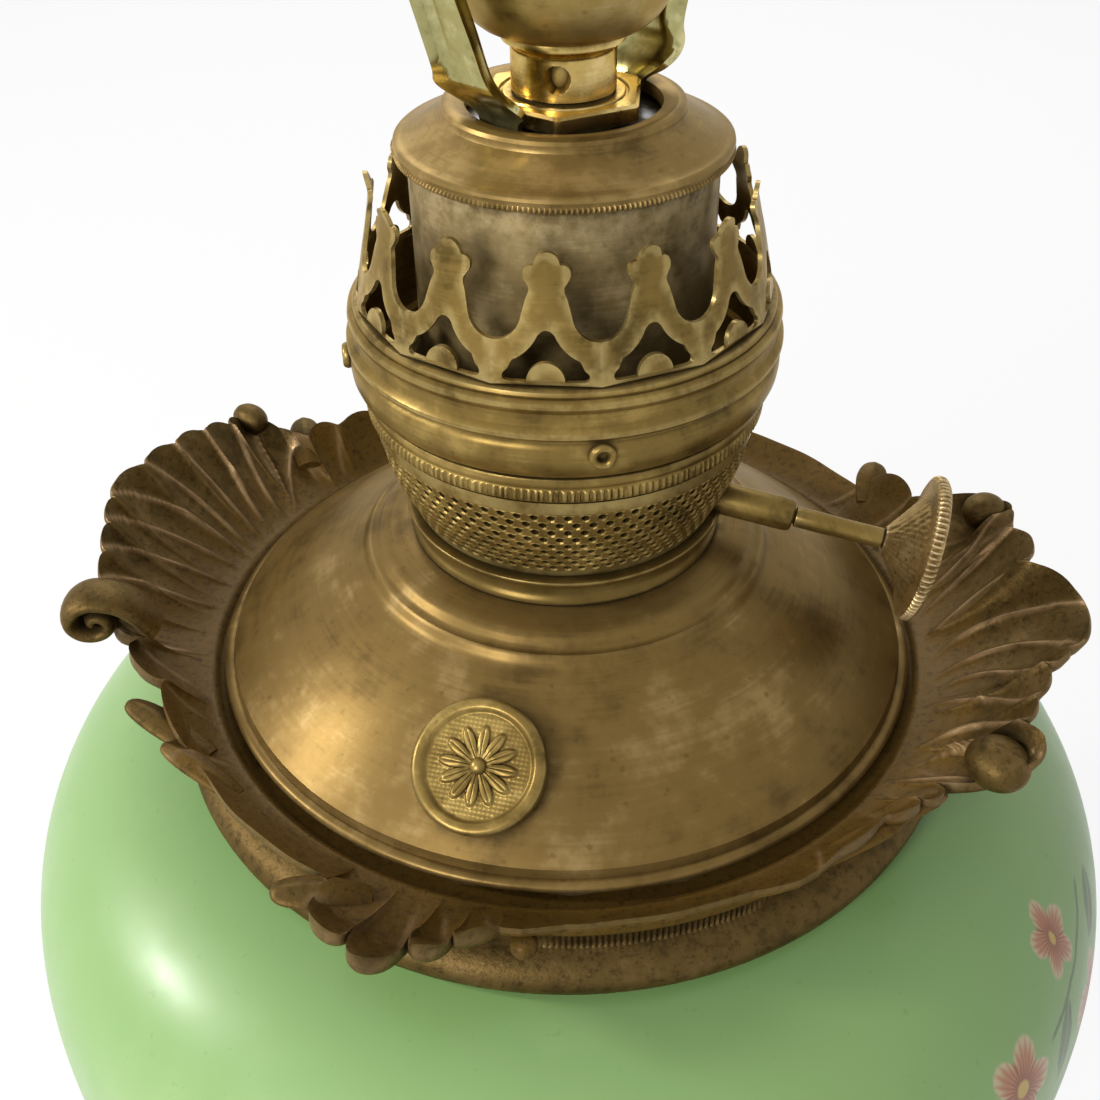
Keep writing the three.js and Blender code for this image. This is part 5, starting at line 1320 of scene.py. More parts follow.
    def build(self) -> None:
        """Makes the collar with its knobs, scroll and leaf fingers."""
        degrees = np.arange(self.steps) * 360.0 / self.steps
        angles = np.radians(degrees)
        reach, level = self.edge_at(degrees)
        foot = self.shoulder(70.4) + 0.3
        ribbed = 0.3 * np.cos(np.radians(degrees * self.ribs)) * self.bareness(degrees)
        crest = level + self.lip
        rows: list[tuple[Spread, Spread]] = [(66, self.shoulder(66) + 0.3)]
        rows += [(radius, foot + rise) for radius, rise in self.wall]
        rows += [(68.8 + ribbed, height) for height in (-8.6, -7.2, -5.6)] + [(69.6, -4.8)]
        for share in np.linspace(0.12, 0.97, 10):
            radius, height, _ = self.skin(share, degrees, reach, crest, 0)
            under = np.maximum(height - 2.4 + share * 0.5, -4.2)
            rows.append((np.maximum(radius, 70.4 + share * 0.4), under))
        rows += [(reach - 0.25, level - 0.3), (reach, level + 0.35), (reach - 0.2, crest - 0.25)]
        for share in np.linspace(0.975, 0, self.across):
            rows.append(self.skin(share, degrees, reach, crest, 1)[:2])
        rows += self.bore
        collar = Solid().grid(np.stack([laid(radius, angles, height) for radius, height in rows], axis=1))
        for finger in self.fingers:
            self.finger(collar, finger)
        for knob in self.knobs:
            self.knob(collar, knob)
        self.scroll(collar, (186.5, 79.4, 7.6), 5.4)
        thing = collar.piece("cast_collar", DARK_CASTING, "base", "collar", crease=60.0)
        self.mark_ridges(thing.data)

    def skin(self, share: float, degrees: np.ndarray, reach: np.ndarray, crest: np.ndarray,
            relief: float) -> tuple[np.ndarray, np.ndarray, np.ndarray]:
        """The collar's upper face: hollow flutes between thin ridges, swelling to round lobes at the edge.

        Args:
            share: how far out from the channel to the edge.
            degrees: directions round the lamp.
            reach: the edge's reach.
            crest: the edge's upper level.
            relief: how much of the flutes and ridges shows.

        Returns:
            The radii, the levels and how much of a ridge is there.
        """
        radius = self.channel + (reach - self.channel) * share
        height = self.channel_level + (crest - self.channel_level) * share**1.5
        ridges = np.zeros(degrees.shape)
        inner = min(1, max(0, share * 2.2 - 0.15)) * min(1, max(0, (0.97 - share) / 0.22))
        outer = min(1, max(0, (share - 0.7) / 0.22))
        for ornament in self.ornaments():
            out, _ = ornament.edge(degrees)
            place, near, roped = ornament.flow(degrees, share)
            inside = (np.abs(place) < 1) & (out > 0) | (near < 0.8)
            bow = 1 - np.clip(np.abs(place), 0, 1) ** 2
            away = np.radians(near) * radius
            line = np.exp(-((away / 0.52) ** 2)) * (1 - 0.45 * roped * (1 + math.sin(share * 90)))
            hollow = bow * (outer * 1.1 - inner * abs(ornament.flute))
            hollow = np.where(inside & (np.abs(place) < 1), hollow, 0)
            if ornament.flute < 0:
                hollow = np.where(inside & (np.abs(place) < 1),
                    bow * (0.3 + outer) * abs(ornament.flute) * share, 0)
            seam = min(1, share * 3) * line * (0.5 if ornament.flute > 0 else 0.12)
            height = height + relief * (hollow + np.where(near < 2.5, seam, 0))
            ridges = np.maximum(ridges, line * min(1, share * 3) * (1.0 if ornament.flute > 0 else 0.4))
        return radius, height, ridges

    def mark_ridges(self, mesh: bpy.types.Mesh) -> None:
        """Marks the worn ridges and edges on the mesh, for the finish.

        Args:
            mesh: the collar's mesh.
        """
        spots, turn, level = surveyed(mesh)
        degrees = np.degrees(turn)
        reach, height = self.edge_at(degrees)
        share = np.clip((spots - self.channel) / (reach - self.channel), 0, 1)
        worn = np.zeros(len(spots))
        for low in np.linspace(0, 1, 41):
            band = np.abs(share - low) <= 0.0126
            if band.any():
                crest = height[band] + self.lip
                _, skin, ridges = self.skin(float(low), degrees[band], reach[band], crest, 1)
                top = np.clip(1 - np.abs(skin - level[band]) / 1.6, 0, 1)
                worn[band] = ridges * top * min(1, max(0, float(low) * 3 - 0.3))
        rim = np.clip(1 - np.abs(spots - reach) / 0.5, 0, 1) * np.clip(1 - np.abs(level - height - 0.9) / 0.9,
            0, 1)
        worn = np.maximum(worn, rim * 0.45)
        rust = np.clip((80.0 - spots) / 6, 0, 1) * np.clip((level + 4.5) / 1.5, 0, 1)
        stored(mesh, "worn", worn)
        stored(mesh, "rust", rust)

    def finger(self, collar: Solid, finger: Finger) -> None:
        """Adds one leaf finger: a flat, crowned strip that ends in a round tip.

        Args:
            collar: the collar's mesh.
            finger: the finger.
        """
        root, tip = polar(*finger.root), polar(*finger.tip)
        middle = (root + tip) / 2 + np.array([0, 0, 0.5])
        path = spline([root, middle, tip], 12)
        share = np.linspace(0, 1, len(path))
        half = finger.half * (0.75 + 0.35 * np.sin(np.clip(share * 1.6, 0, 1) * math.pi / 2))
        half *= np.sqrt(np.clip(1.0 - np.clip((share - 0.5) / 0.5, 0, 1) ** 2, 0.004, 1))
        turn = around(28)
        crown = np.where(np.sin(turn) > 0, 0.46 + 0.14 * np.cos(turn * 2 + math.pi) ** 3, 0.32)
        outline = np.stack([np.cos(turn), np.sin(turn) * crown], axis=1)
        collar.sweep(path, outline * half[:, None, None], (0, 0, 1))

    def knob(self, collar: Solid, knob: Knob) -> None:
        """Adds one rolled leaf end: a flattened ball with a shallow rolled line.

        Args:
            collar: the collar's mesh.
            knob: the knob.
        """
        rise = np.linspace(-math.pi / 2, math.pi / 2, 25)
        spin, tilt = np.meshgrid(around(48), rise, indexing="ij")
        rolled = 1 - 0.02 * np.exp(-(((tilt - 0.5 - spin / 14) / 0.13) ** 2))
        net = laid(np.cos(tilt), spin, np.sin(tilt)) * rolled[..., None] * knob.size
        away = np.array(spun(knob.place[0] + knob.turn))[:3, :3]
        collar.grid(net @ away.T + polar(*knob.place), wrap_columns=False)

    def scroll(self, collar: Solid, root: Point, size: float) -> None:
        """Adds one scroll: a band that runs out, up and round to an eye, square to the edge.

        Args:
            collar: the collar's mesh.
            root: where it leaves the shell, as direction, reach and level.
            size: how far its first turn reaches from the eye.
        """
        direction, reach, level = root
        outward = polar(direction, 1, 0)
        eye = polar(direction, reach + size * 1.35, level + size * 0.45)
        path = [polar(direction, reach - 3, level - 0.5), polar(direction, reach + size * 0.3,
            level + size * 0.95)]
        for step in range(14):
            angle = math.radians(100 - step * 36)
            ray = size * (1 - step / 13.6)
            path.append(eye + outward * math.cos(angle) * ray + np.array([0, 0,
                math.sin(angle) * ray * 0.85]))
        fine = spline(path, 5)
        share = np.linspace(0, 1, len(fine))
        sections = circle(size, 20) * np.stack([0.86 - 0.2 * share, 0.36 - 0.1 * share], axis=1)[:, None]
        collar.sweep(fine, sections[..., ::-1], np.cross((0, 0, 1), outward))


# Font and burner


@dataclass
class Font:
    """The font's dome, and the filler cap on its slope."""

    rim: float = 64.9
    roll: float = 1.4
    step: float = 36.9
    step_level: float = 20.6
    crown: float = 1.3
    sheet: float = 0.9
    neck: float = 27.6
    top: float = 25.6
    opening: float = 22.0
    filler_direction: float = -105.5
    filler_offset: float = 51.6
    petals: int = 12

    def dome_level(self, radius: float) -> float:
        """The dome's level at a radius."""
        share = (self.rim - radius) / (self.rim - self.step)
        return share * self.step_level + 4 * self.crown * share * (1 - share)

    def build(self) -> None:
        """Makes the dome and the filler cap."""
        self.dome()
        self.filler_cap()

    def dome(self) -> None:
        """The spun dome: rolled rim, long arc, two steps and a seat."""
        roll = [(self.rim - self.roll + self.roll * math.cos(math.radians(a)),
            self.roll * 0.75 * math.sin(math.radians(a)) - self.roll * 0.3) for a in range(-90, 106, 15)]
        arc = [(r, self.dome_level(r)) for r in np.linspace(self.rim - self.roll * 1.6, self.step + 0.6, 30)]
        steps = [(36.6, 21), (36.2, 21.9), (35.7, 22.3), (34.9, 22.4), (34.2, 22.9), (33.7, 23.7), (33, 24.2),
            (31.5, 24.7), (29.5, 25.2), (28.4, 25.55), (self.neck, self.top)]
        outer = roll + arc + steps + [(self.opening, self.top)]
        inner = [(self.opening, self.top - self.sheet), (self.neck, self.top - self.sheet), (30, 23.9),
            (35, 20.8)]
        inner += [(r - self.sheet, self.dome_level(r) - self.sheet) for r in np.linspace(self.step,
            self.rim - 2.6, 12)]
        inner.append((62.6, -1.4))
        Solid().revolve(outer + inner, 288).piece("spun_dome", AGED_BRASS, "font", "font_dome", crease=30.0)

    def filler_place(self) -> Matrix:
        """Where the filler's axis stands on the slope."""
        slope = math.atan2(self.step_level, self.rim - self.step)
        level = self.dome_level(self.filler_offset)
        place = spun(self.filler_direction) @ Matrix.Translation((self.filler_offset, 0, level))
        return place @ Matrix.Rotation(slope, 4, "Y")

    def relief(self, radius: np.ndarray, angle: np.ndarray) -> np.ndarray:
        """The height of the pressed rosette over the cap's face.

        Args:
            radius: distances from the cap's axis.
            angle: angles round it.

        Returns:
            The relief.
        """
        wave = np.abs(np.cos(angle * self.petals / 2))
        outline = 6.6 * (0.42 + 0.58 * wave**0.55)
        inside = np.clip((outline - radius) / 0.7, 0, 1)
        petal = inside * (0.36 + 0.3 * wave) * np.clip((radius - 0.8) / 2, 0.25, 1)
        fold = 0.16 * np.exp(-(((1 - wave) / 0.05) ** 2)) * inside
        crease = 0.12 * np.exp(-((np.abs(np.sin(angle * self.petals / 2)) / 0.1) ** 2)) * inside
        ball = np.sqrt(np.clip(1.35**2 - radius**2, 0, None)) * 0.75
        stipple = 0.1 * np.abs(np.sin(radius * np.cos(angle) * 4.4) * np.sin(radius * np.sin(angle) * 4.4))
        return np.maximum(petal - crease - fold * 0.4, ball) + stipple * (1 - inside) * (radius < 8.2)

    def filler_cap(self) -> None:
        """The screw cap: double rim, stippled ground and a pressed rosette."""
        angles = around(240)
        radii = np.concatenate([np.linspace(0.01, 8.3, 44), [8.5, 8.75, 9.05, 9.35, 9.6]])
        ray, turn = np.meshgrid(radii, angles)
        face = 3.9 + self.relief(ray, turn)
        border = 3.9 + 0.75 * np.sin(np.clip((ray - 8.4) / 1.2, 0, 1) * math.pi * 0.6)
        face = np.where(ray > 8.4, border, face)
        side = [(9.95, 4.66), (10.4, 4.5), (10.75, 4.2), (10.8, 3.9), (10.6, 3.6), (10.35, 3.45),
            (10.6, 3.25), (10.8, 2.9), (10.75, 2.5), (10.4, 2.1), (10.1, 1.4), (9.7, 1.4), (9.7, 3.4),
            (6.2, 3.4), (6.2, 2.8), (0.01, 2.8)]
        rims = np.broadcast_to(np.transpose(side)[:, None], (2, 240, len(side)))
        columns, levels = np.hstack([ray, rims[0]]), np.hstack([face, rims[1]])
        cap = Solid().grid(laid(columns, angles[:, None], levels),
            wrap_columns=False).moved(self.filler_place())
        cap.piece("pressed_filler_cap", BURNER_BRASS, "filler_cap", "filler_cap", crease=60.0)


@dataclass
class Burner:
    """The central-draft burner: neck, pierced basket, milled band and the winder's housing."""

    basket: tuple = ((26.6, 31.5), (27.6, 34), (29.4, 38), (30.7, 41.5), (31.6, 45.5), (32.3, 48.6),
        (32.5, 50.2))
    wall: float = 0.9
    rows: int = 9
    holes: int = 76
    hole: float = 0.62
    first: float = 33.2
    last: float = 47.8
    knurls: int = 190

    def build(self) -> None:
        """Makes the burner's pieces."""
        self.neck()
        self.pierced_basket()
        self.band()
        self.housing()

    def neck(self) -> None:
        """The neck with its flange."""
        profile = softened([(18.9, 18.9), (21.7, 18.9), (21.7, 25.9), (27.6, 25.9), (27.5, 26.6),
            (26.9, 27.4), (26.7, 29.2), (27.3, 29.9), (28.2, 30.2), (28.3, 31), (27.9, 31.2), (23.9, 31.2),
            (23.9, 27.3), (18.9, 27.3)], 0.35, 2)
        Solid().revolve(profile, 192).piece("turned_neck", SHADED_NECK_BRASS, "font", "burner_neck")

    def pierced_basket(self) -> None:
        """The air basket: staggered rows of small holes in a bulged sheet."""
        curve = spline(self.basket, 8)
        lengths = np.concatenate([[0], np.cumsum(np.linalg.norm(np.diff(curve, axis=0), axis=1))])
        levels = curve[:, 1]
        low, high = np.interp([self.first, self.last], levels, lengths)
        pitch = (high - low) / self.rows
        width = 2 * math.pi / self.holes
        slope = np.gradient(curve[:, 0]) / np.gradient(curve[:, 1])
        lean = np.arctan(slope)

        def place(flat: np.ndarray, depth: float) -> np.ndarray:
            """Flat points, as angle and length along the curve, to points in space."""
            level = np.interp(flat[:, 1], lengths, levels)
            radius = np.interp(flat[:, 1], lengths, curve[:, 0])
            tilt = np.interp(flat[:, 1], lengths, lean)
            return laid(radius - depth * np.cos(tilt), flat[:, 0], level + depth * np.sin(tilt))

        sheet = Solid()
        turns = np.array([[-1, -1], [0, -1], [1, -1], [1, 0], [1, 1], [0, 1], [-1, 1], [-1, 0]]) / 2
        spin = np.arctan2(turns[:, 1], turns[:, 0])
        for row in range(self.rows):
            for column in range(self.holes):
                middle = np.array([(column + row % 2 / 2) * width, low + (row + 0.5) * pitch])
                cell = middle + turns * (width, pitch)
                size = self.hole / np.interp(middle[1], lengths, curve[:, 0])
                hole = middle + np.stack([np.cos(spin) * size, np.sin(spin) * self.hole], axis=1)
                rim = middle + (hole - middle) * 1.35
                rings = [place(cell, 0), place(rim, -0.12), place(hole, 0.1)]
                rings += [place(hole, self.wall), place(cell, self.wall)]
                sheet.grid(np.array(rings), wrap_rows=False)
        for start, end in ((0, low), (high, lengths[-1])):
            angles = np.arange(self.holes * 2) * width / 2
            rows = [(start, 0), (end, 0), (end, self.wall), (start, self.wall)]
            if start:
                rows = [(start, 0), (start + 0.2, -0.1), (end, 0), (end, self.wall), (start, self.wall)]
            rings = [place(np.stack([angles, 0 * angles + at], axis=1), deep) for at, deep in rows]
            sheet.grid(np.stack(rings, axis=1))
        sheet.piece("pierced_basket", BURNER_BRASS, "font", "air_basket", crease=30.0)

    def band(self) -> None:
        """The milled band that closes the basket."""
        profile = softened([(31.6, 50.5), (32.5, 50.5), (33.1, 50.9), (33.25, 51.6), (33.25, 52.9),
            (33, 53.2), (33.2, 53.6), (33.2, 54.8), (32.9, 55.1), (29.2, 55.1), (29.2, 54.3), (31.6, 54.2)],
            0.18, 1)
        milled = [0.16 if 51.0 < level < 53.0 and radius > 33 else 0.0 for radius, level in profile]

        def swell(angles: np.ndarray, j: int) -> np.ndarray:
            """The milling's teeth."""
            return milled[j] * np.sign(np.cos(angles * self.knurls))

        ring = Solid().revolve(profile, self.knurls * 4, swell)
        ring.piece("milled_ring", BURNER_BRASS, "font", "milled_band")

    def housing(self) -> None:
        """The winder's housing, a plain tube with a turned-in mouth."""
        profile = softened([(1.65, 24.8), (2.9, 24.8), (2.9, 39.9), (2.75, 40.8), (2.3, 41.13),
            (1.65, 41.13)], 0.25, 2)
        tube = Solid().revolve(profile, 64).moved(Winder.place())
        tube.piece("winder_tube", BURNER_BRASS, "font", "winder_housing")


@dataclass
class Winder:
    """The wick winder's stem and its thumbwheel, on an axis that slopes down and out."""

    direction: float = -13.0
    slope: float = 9.2
    anchor: float = 29.0
    anchor_level: float = 32.0
    wheel: float = 12.6
    thick: float = 2.6
    run: float = 63.72
    hub: float = 2.7
    hub_run: float = 57.12
    cone: float = 9.2
    knurls: int = 78

    @staticmethod
    def place() -> Matrix:
        """The movement from the Z axis to the winder's axis."""
        slope = math.radians(Winder.slope)
        level = Winder.anchor_level + Winder.anchor * math.tan(slope)
        turned = spun(Winder.direction) @ Matrix.Translation((0, 0, level))
        return turned @ Matrix.Rotation(math.pi / 2 + slope, 4, "Y")

    def build(self) -> None:
        """Makes the stem and the wheel."""
        stem = softened([(0.01, 20.1), (1.3, 20.1), (1.3, 41.5), (1.8, 41.5), (1.83, 46), (1.74, 50),
            (1.8, 56.8), (1.3, 56.8), (1.3, 66), (0.8, 66.3), (0.01, 66.3)], 0.25, 2)
        shaft = Solid().revolve(stem, 48).moved(self.place())
        shaft.piece("winder_stem", BURNER_BRASS, "winder", "winder_shaft")
        self.knurled_wheel()

    def knurled_wheel(self) -> None:
        """The wheel with its stippled cone and knurled edge."""
        low, high = self.run - self.thick / 2, self.run + self.thick / 2
        cone = [(self.hub + (self.cone - self.hub) * share,
            self.hub_run + 0.5 + (low - self.hub_run - 0.5) * share) for share in np.linspace(0, 1, 13)]
        profile = [(1.6, self.hub_run), (self.hub - 0.5, self.hub_run), *cone, (10.2, low + 0.1),
            (11.2, low + 0.3), (12, low + 0.25), (self.wheel - 0.15, low + 0.5), (self.wheel, low + 0.8),
            (self.wheel, high - 0.8), (self.wheel - 0.2, high - 0.4), (12, high), (11.3, high),
            (10.6, high - 0.6), (7.5, high - 0.95), (4.6, high - 1), (4.2, high - 0.5), (3, high - 0.35),
            (1.6, high - 0.35)]

        def swell(angles: np.ndarray, j: int) -> np.ndarray:
            """The wheel's knurls, dots and facets."""
            radius = profile[j][0]
            edge = max(0, 1 - abs(radius - self.wheel) / 0.5)
            punched = 0.16 if 3 < j < 15 else 0.0
            dots = np.sin(angles * (18 + j * 2) + j * 2.1) * np.sin(angles * 7 + j * 1.7)
            facets = 0.14 * np.cos(angles * 12) if 1 < j < 5 else 0.0
            return edge * 0.24 * np.cos(angles * self.knurls) + punched * dots + facets

        wheel = Solid().revolve(profile, 624, swell).moved(self.place())
        wheel.piece("knurled_wheel", WHEEL_BRASS, "winder", "thumbwheel", crease=30.0)


@dataclass
class Gallery:
    """The gallery ring, its eyelets and the pierced coronet."""

    rivets: tuple[str, ...] = ("front", "right", "back", "left")
    rivet_direction: float = -82.0
    belly: float = 35.2
    prongs: int = 13
    first: float = -95.5
    foot: float = 70.7
    shoulder: float = 33.3
    lean: float = 29.6
    lean_level: float = 87.0
    tip: float = 30.0
    wall: float = 0.7

    def build(self) -> None:
        """Makes the ring, the eyelets and the coronet."""
        self.ring()
        self.eyelets()
        self.coronet()

    def ring(self) -> None:
        """The spun ring: rounded belly, grooves and double beads."""
        outer = [(21, 55.5), (32.6, 55.5), (33.6, 55.8), (34.6, 56.9), (35.1, 58.2), (35.25, 59.6),
            (35.2, 61.2), (34.95, 61.9), (34.6, 62.3), (34.55, 62.7), (35.1, 63), (35.5, 63.5), (35.45, 64.1),
            (35, 64.6), (34.5, 65), (34.3, 65.8), (34.25, 66.5), (34.35, 67.1), (34.75, 67.5), (34.95, 68.1),
            (34.8, 68.8), (34.3, 69.2), (33.9, 69.3), (34, 69.7), (33.8, 70.2), (33.4, 70.4)]
        inner = [(32.3, 70.4), (33, 67.5), (33.4, 65), (33.9, 62), (34.2, 59), (33.4, 57.2), (32.4, 56.6),
            (21, 56.6)]
        Solid().revolve(outer + inner, 288).piece("spun_gallery", BURNER_BRASS, "gallery", "gallery_ring",
            crease=28.0)

    def eyelets(self) -> None:
        """The four eyelets, each on its own node."""
        profile = softened([(0.75, -0.35), (2.05, -0.35), (2.15, 0.1), (1.9, 0.75), (1.45, 0.95), (1, 0.7),
            (0.78, 0.3)], 0.25, 2)
        for index, side in enumerate(self.rivets):
            seat = Matrix.Translation((self.belly + 0.3, 0, 60.6)) @ Matrix.Rotation(math.pi / 2, 4, "Y")
            ring = Solid().revolve(profile, 40).moved(spun(self.rivet_direction + 90 * index) @ seat)
            ring.piece("eyelet_" + side, BURNER_BRASS, "gallery", "gallery_rivet_" + side)

    def prong(self) -> np.ndarray:
        """The outline of one prong's panel, counter-clockwise from its lower right corner."""
        half = math.pi * self.shoulder / self.prongs
        turn = np.radians(np.linspace(270, 187, 9))
        valley = [(half + 4.3 * math.cos(a), 10.6 + 4.3 * math.sin(a)) for a in turn]
        waist = spline([valley[-1], (3.15, 12.3), (2.75, 13.2), (2.75, 13.9), (3.05, 14.3)], 3).tolist()
        turn = np.radians(np.linspace(-48, 100, 9))
        ear = [(2.4 + 1.3 * math.cos(a), 15.6 + 1.3 * math.sin(a)) for a in turn]
        crown = [(1.95 * math.cos(a), 16.98 + 1.92 * math.sin(a)) for a in np.radians(np.linspace(4, 90, 7))]
        right = valley[:-1] + waist[:-1] + ear + crown
        left = [(-x, y) for x, y in right[::-1][1:]]
        return np.array([(half, 0), *right, *left, (-half, 0)])

    def arch(self) -> np.ndarray:
        """The outline of the opening under a prong, with the scalloped tab below it."""
        half = math.pi * self.shoulder / self.prongs
        tab = [(2.8 * math.cos(a), 0.8 + 2.8 * math.sin(a)) for a in np.linspace(math.pi / 2, 0.02, 8)]
        corner = spline([(4.3, 0.8), (5.6, 0.78), (6.25, 1.05), (6.25, 1.8), (5.6, 2.45)], 3).tolist()
        haunch = [(half + 7.5 * math.cos(a), 10.6 + 7.5 * math.sin(a)) for a in np.radians(np.linspace(246,
            205, 7))]
        apex = spline([haunch[-1], (0.62, 7.95), (0, 8.1)], 3).tolist()
        right = tab + corner + haunch[:-1] + apex
        return np.array(right + [(-x, y) for x, y in right[::-1] if x > 1e-6])

    def coronet(self) -> None:
        """The coronet: prongs cut from one leaning sheet, each a little bent."""
        half = math.pi * self.shoulder / self.prongs
        chance = random.Random(7)
        whole = Solid()
        for index in range(self.prongs):
            bow, twist = chance.uniform(-0.5, 0.5), chance.uniform(-0.35, 0.35)

            def place(flat: np.ndarray, depth: float, index: int = index) -> np.ndarray:
                """Flat points on the leaning wall."""
                rise = flat[:, 1]
                share = np.clip(rise / (self.lean_level - self.foot), 0, 1)
                radius = self.shoulder + (self.lean - self.shoulder) * share
                radius += np.clip((rise - 16.3) / 2.6, 0, 1) * (self.tip - self.lean)
                bend = np.clip((rise - 9) / 10, 0, 1) ** 2
                radius += bend * (bow + twist * flat[:, 0] / 3)
                angle = math.radians(self.first) + (index + flat[:, 0] / half / 2) * 2 * math.pi / self.prongs
                return laid(radius - depth, angle, self.foot + rise)

            whole.plate(self.prong(), [self.arch()], place, self.wall, 1.3)
        whole.piece("pierced_coronet", BURNER_BRASS, "gallery", "coronet", crease=40.0)


# Adapter, harp and socket


@dataclass
class Adapter:
    """The electric adapter: sleeve, beaded cap, lock plate and harp saddle."""

    beads: int = 216
    plate_corner: float = 12.8
    plate_turn: float = 25.0
    harp_turn: float = 45.0

    def build(self) -> None:
        """Makes the adapter's pieces."""
        self.tube()
        self.cap()
        self.plate()
        self.saddle()

    def tube(self) -> None:
        """The sleeve with its flared foot and inner hem."""
        profile = [(24.2, 56.9), (25, 56.9), (24.9, 57.5), (24.2, 58.9), (23.75, 60), (23.6, 61), (23.62, 70),
            (23.55, 80), (23.6, 92.1), (23.3, 92.6), (22, 92.6), (22, 91.8), (22.8, 91.8), (22.8, 61),
            (23.4, 58.9)]

        def dents(angles: np.ndarray, j: int) -> np.ndarray:
            """The sleeve isn't perfectly round any more."""
            level = profile[j][1]
            return 0.07 * np.sin(angles * 3 + level * 0.11) + 0.04 * np.sin(angles * 7 - level * 0.2)

        sleeve = Solid().revolve(profile, 192, dents)
        sleeve.piece("tarnished_tube", TARNISHED_SLEEVE, "adapter", "adapter_sleeve")

    def cap(self) -> None:
        """The cone-shaped cap with its beaded rim and rolled lip."""
        cone = [(24.1, 95.42), (23.4, 95.75), (21.5, 96.75), (19.8, 97.7), (18.9, 98.2)]
        lip = [(18.35, 98.55), (18.15, 99), (18.2, 99.55), (17.9, 100.05), (17.3, 100.35), (16.6, 100.4),
            (16, 100.25), (15.2, 100.15), (14.65, 99.95), (14.6, 99.5)]
        rim = [(23.9, 92.8), (24.9, 92.8), (25.3, 93.05), (25.4, 93.4), (25.25, 93.8), (25.35, 94.1),
            (25.5, 94.5), (25.4, 94.95), (25.1, 95.2), (24.6, 95.3)]
        under = [(14.6, 98.1), (18, 97.6), (23.5, 93)]
        profile = rim + cone + lip + under

        def bead(angles: np.ndarray, j: int) -> np.ndarray:
            """The fine beading round the rim's lower edge."""
            radius, level = profile[j]
            near = 1.0 if radius > 25.2 and level < 93.6 else 0.0
            return near * 0.22 * np.cos(angles * self.beads)

        cap = Solid().revolve(profile, self.beads * 6, bead)
        cap.piece("spun_cap", CAP_BRASS, "adapter", "adapter_cap", crease=32.0)

    def plate(self) -> None:
        """The hexagonal lock plate with turned marks and worn corners."""
        steps = 240
        angles = around(steps)
        local = (angles - math.radians(self.plate_turn)) % (math.pi / 3) - math.pi / 6
        hexagon = np.minimum(self.plate_corner * math.cos(math.pi / 6) / np.cos(local),
            self.plate_corner * 0.985)
        rows = [(5.1, 0, 98.8), (1, -0.5, 98.8), (1, 0, 99.1), (1, 0, 101), (1, -0.5, 101.4), (9.6, 0, 101.4),
            (9.4, 0, 101.05), (9.1, 0, 101.05), (8.9, 0, 101.4), (7.6, 0, 101.4), (7.4, 0, 101.2),
            (7.2, 0, 101.4), (5.4, 0, 101.4), (5.1, 0, 101.1)]
        net = np.zeros((steps, len(rows), 3))
        for j, (radius, inset, level) in enumerate(rows):
            net[:, j] = laid(hexagon + inset if radius == 1 else radius, angles, level)
        Solid().grid(net).piece("hexagon_plate", POLISHED_BRASS, "adapter", "hex_plate", crease=25.0)

    def saddle(self) -> None:
        """The strap with its two channelled arms."""
        stations = [(4.9, 97.95, 3.6, 0.15, 0), (8.5, 97.95, 3.6, 0.15, 0), (11.2, 98, 3.6, 0.2, 8),
            (12.25, 98.8, 3.7, 0.3, 60), (12.6, 100.6, 4.3, 0.4, 84), (13.9, 102.6, 6.6, 0.5, 62),
            (15.9, 104.4, 7.5, 0.6, 50), (17.4, 106, 7, 0.9, 68), (18.1, 108.4, 5.4, 1.7, 76),
            (19.9, 114, 5.1, 1.9, 72), (22.6, 121.5, 4.7, 1.9, 70), (25.9, 131, 4.1, 1.8, 70)]
        offset, level, half, flange, lean = spline(stations, 5).T[..., None]
        share = np.concatenate([np.linspace(-1, 1, 17), np.linspace(1, -1, 17)])
        depth = np.repeat([0.55, -0.55], 17)
        wing = flange * np.clip((np.abs(share) - 0.62) / 0.38, 0, None) ** 1.5
        wide = half * share * np.where(depth > 0, 1, 1 - 0.1 * wing)
        slope = np.radians(lean)
        along, down = (depth + wing) * np.sin(slope), (depth + wing) * np.cos(slope)
        net = np.stack([offset + along, wide, level - down], axis=-1)
        count = net.shape[1]
        arm = Solid().grid(net, wrap_rows=False)
        for row, flip in ((net[0], False), (net[-1], True)):
            faces = []
            for i in range(16):
                face = [i, i + 1, count - 2 - i, count - 1 - i]
                faces.append(face[::-1] if flip else face)
            arm.add(row, faces)
        post = softened([(0.01, 122.2), (2.2, 122.2), (2.2, 135.6), (1.8, 136), (0.01, 136)], 0.4, 2)
        lug = Solid().revolve(post, 32).moved(Matrix.Translation((28.2, 0, 0)))
        arm.add(np.vstack(lug.points), lug.faces)
        strap = arm.copies((self.harp_turn, self.harp_turn + 180))
        strap.revolve(softened([(5.1, 97.4), (9, 97.4), (9, 98.5), (5.1, 98.5)], 0.2, 1), 64)
        strap.piece("strap_saddle", PALE_STRAP, "adapter", "harp_saddle", crease=40.0)


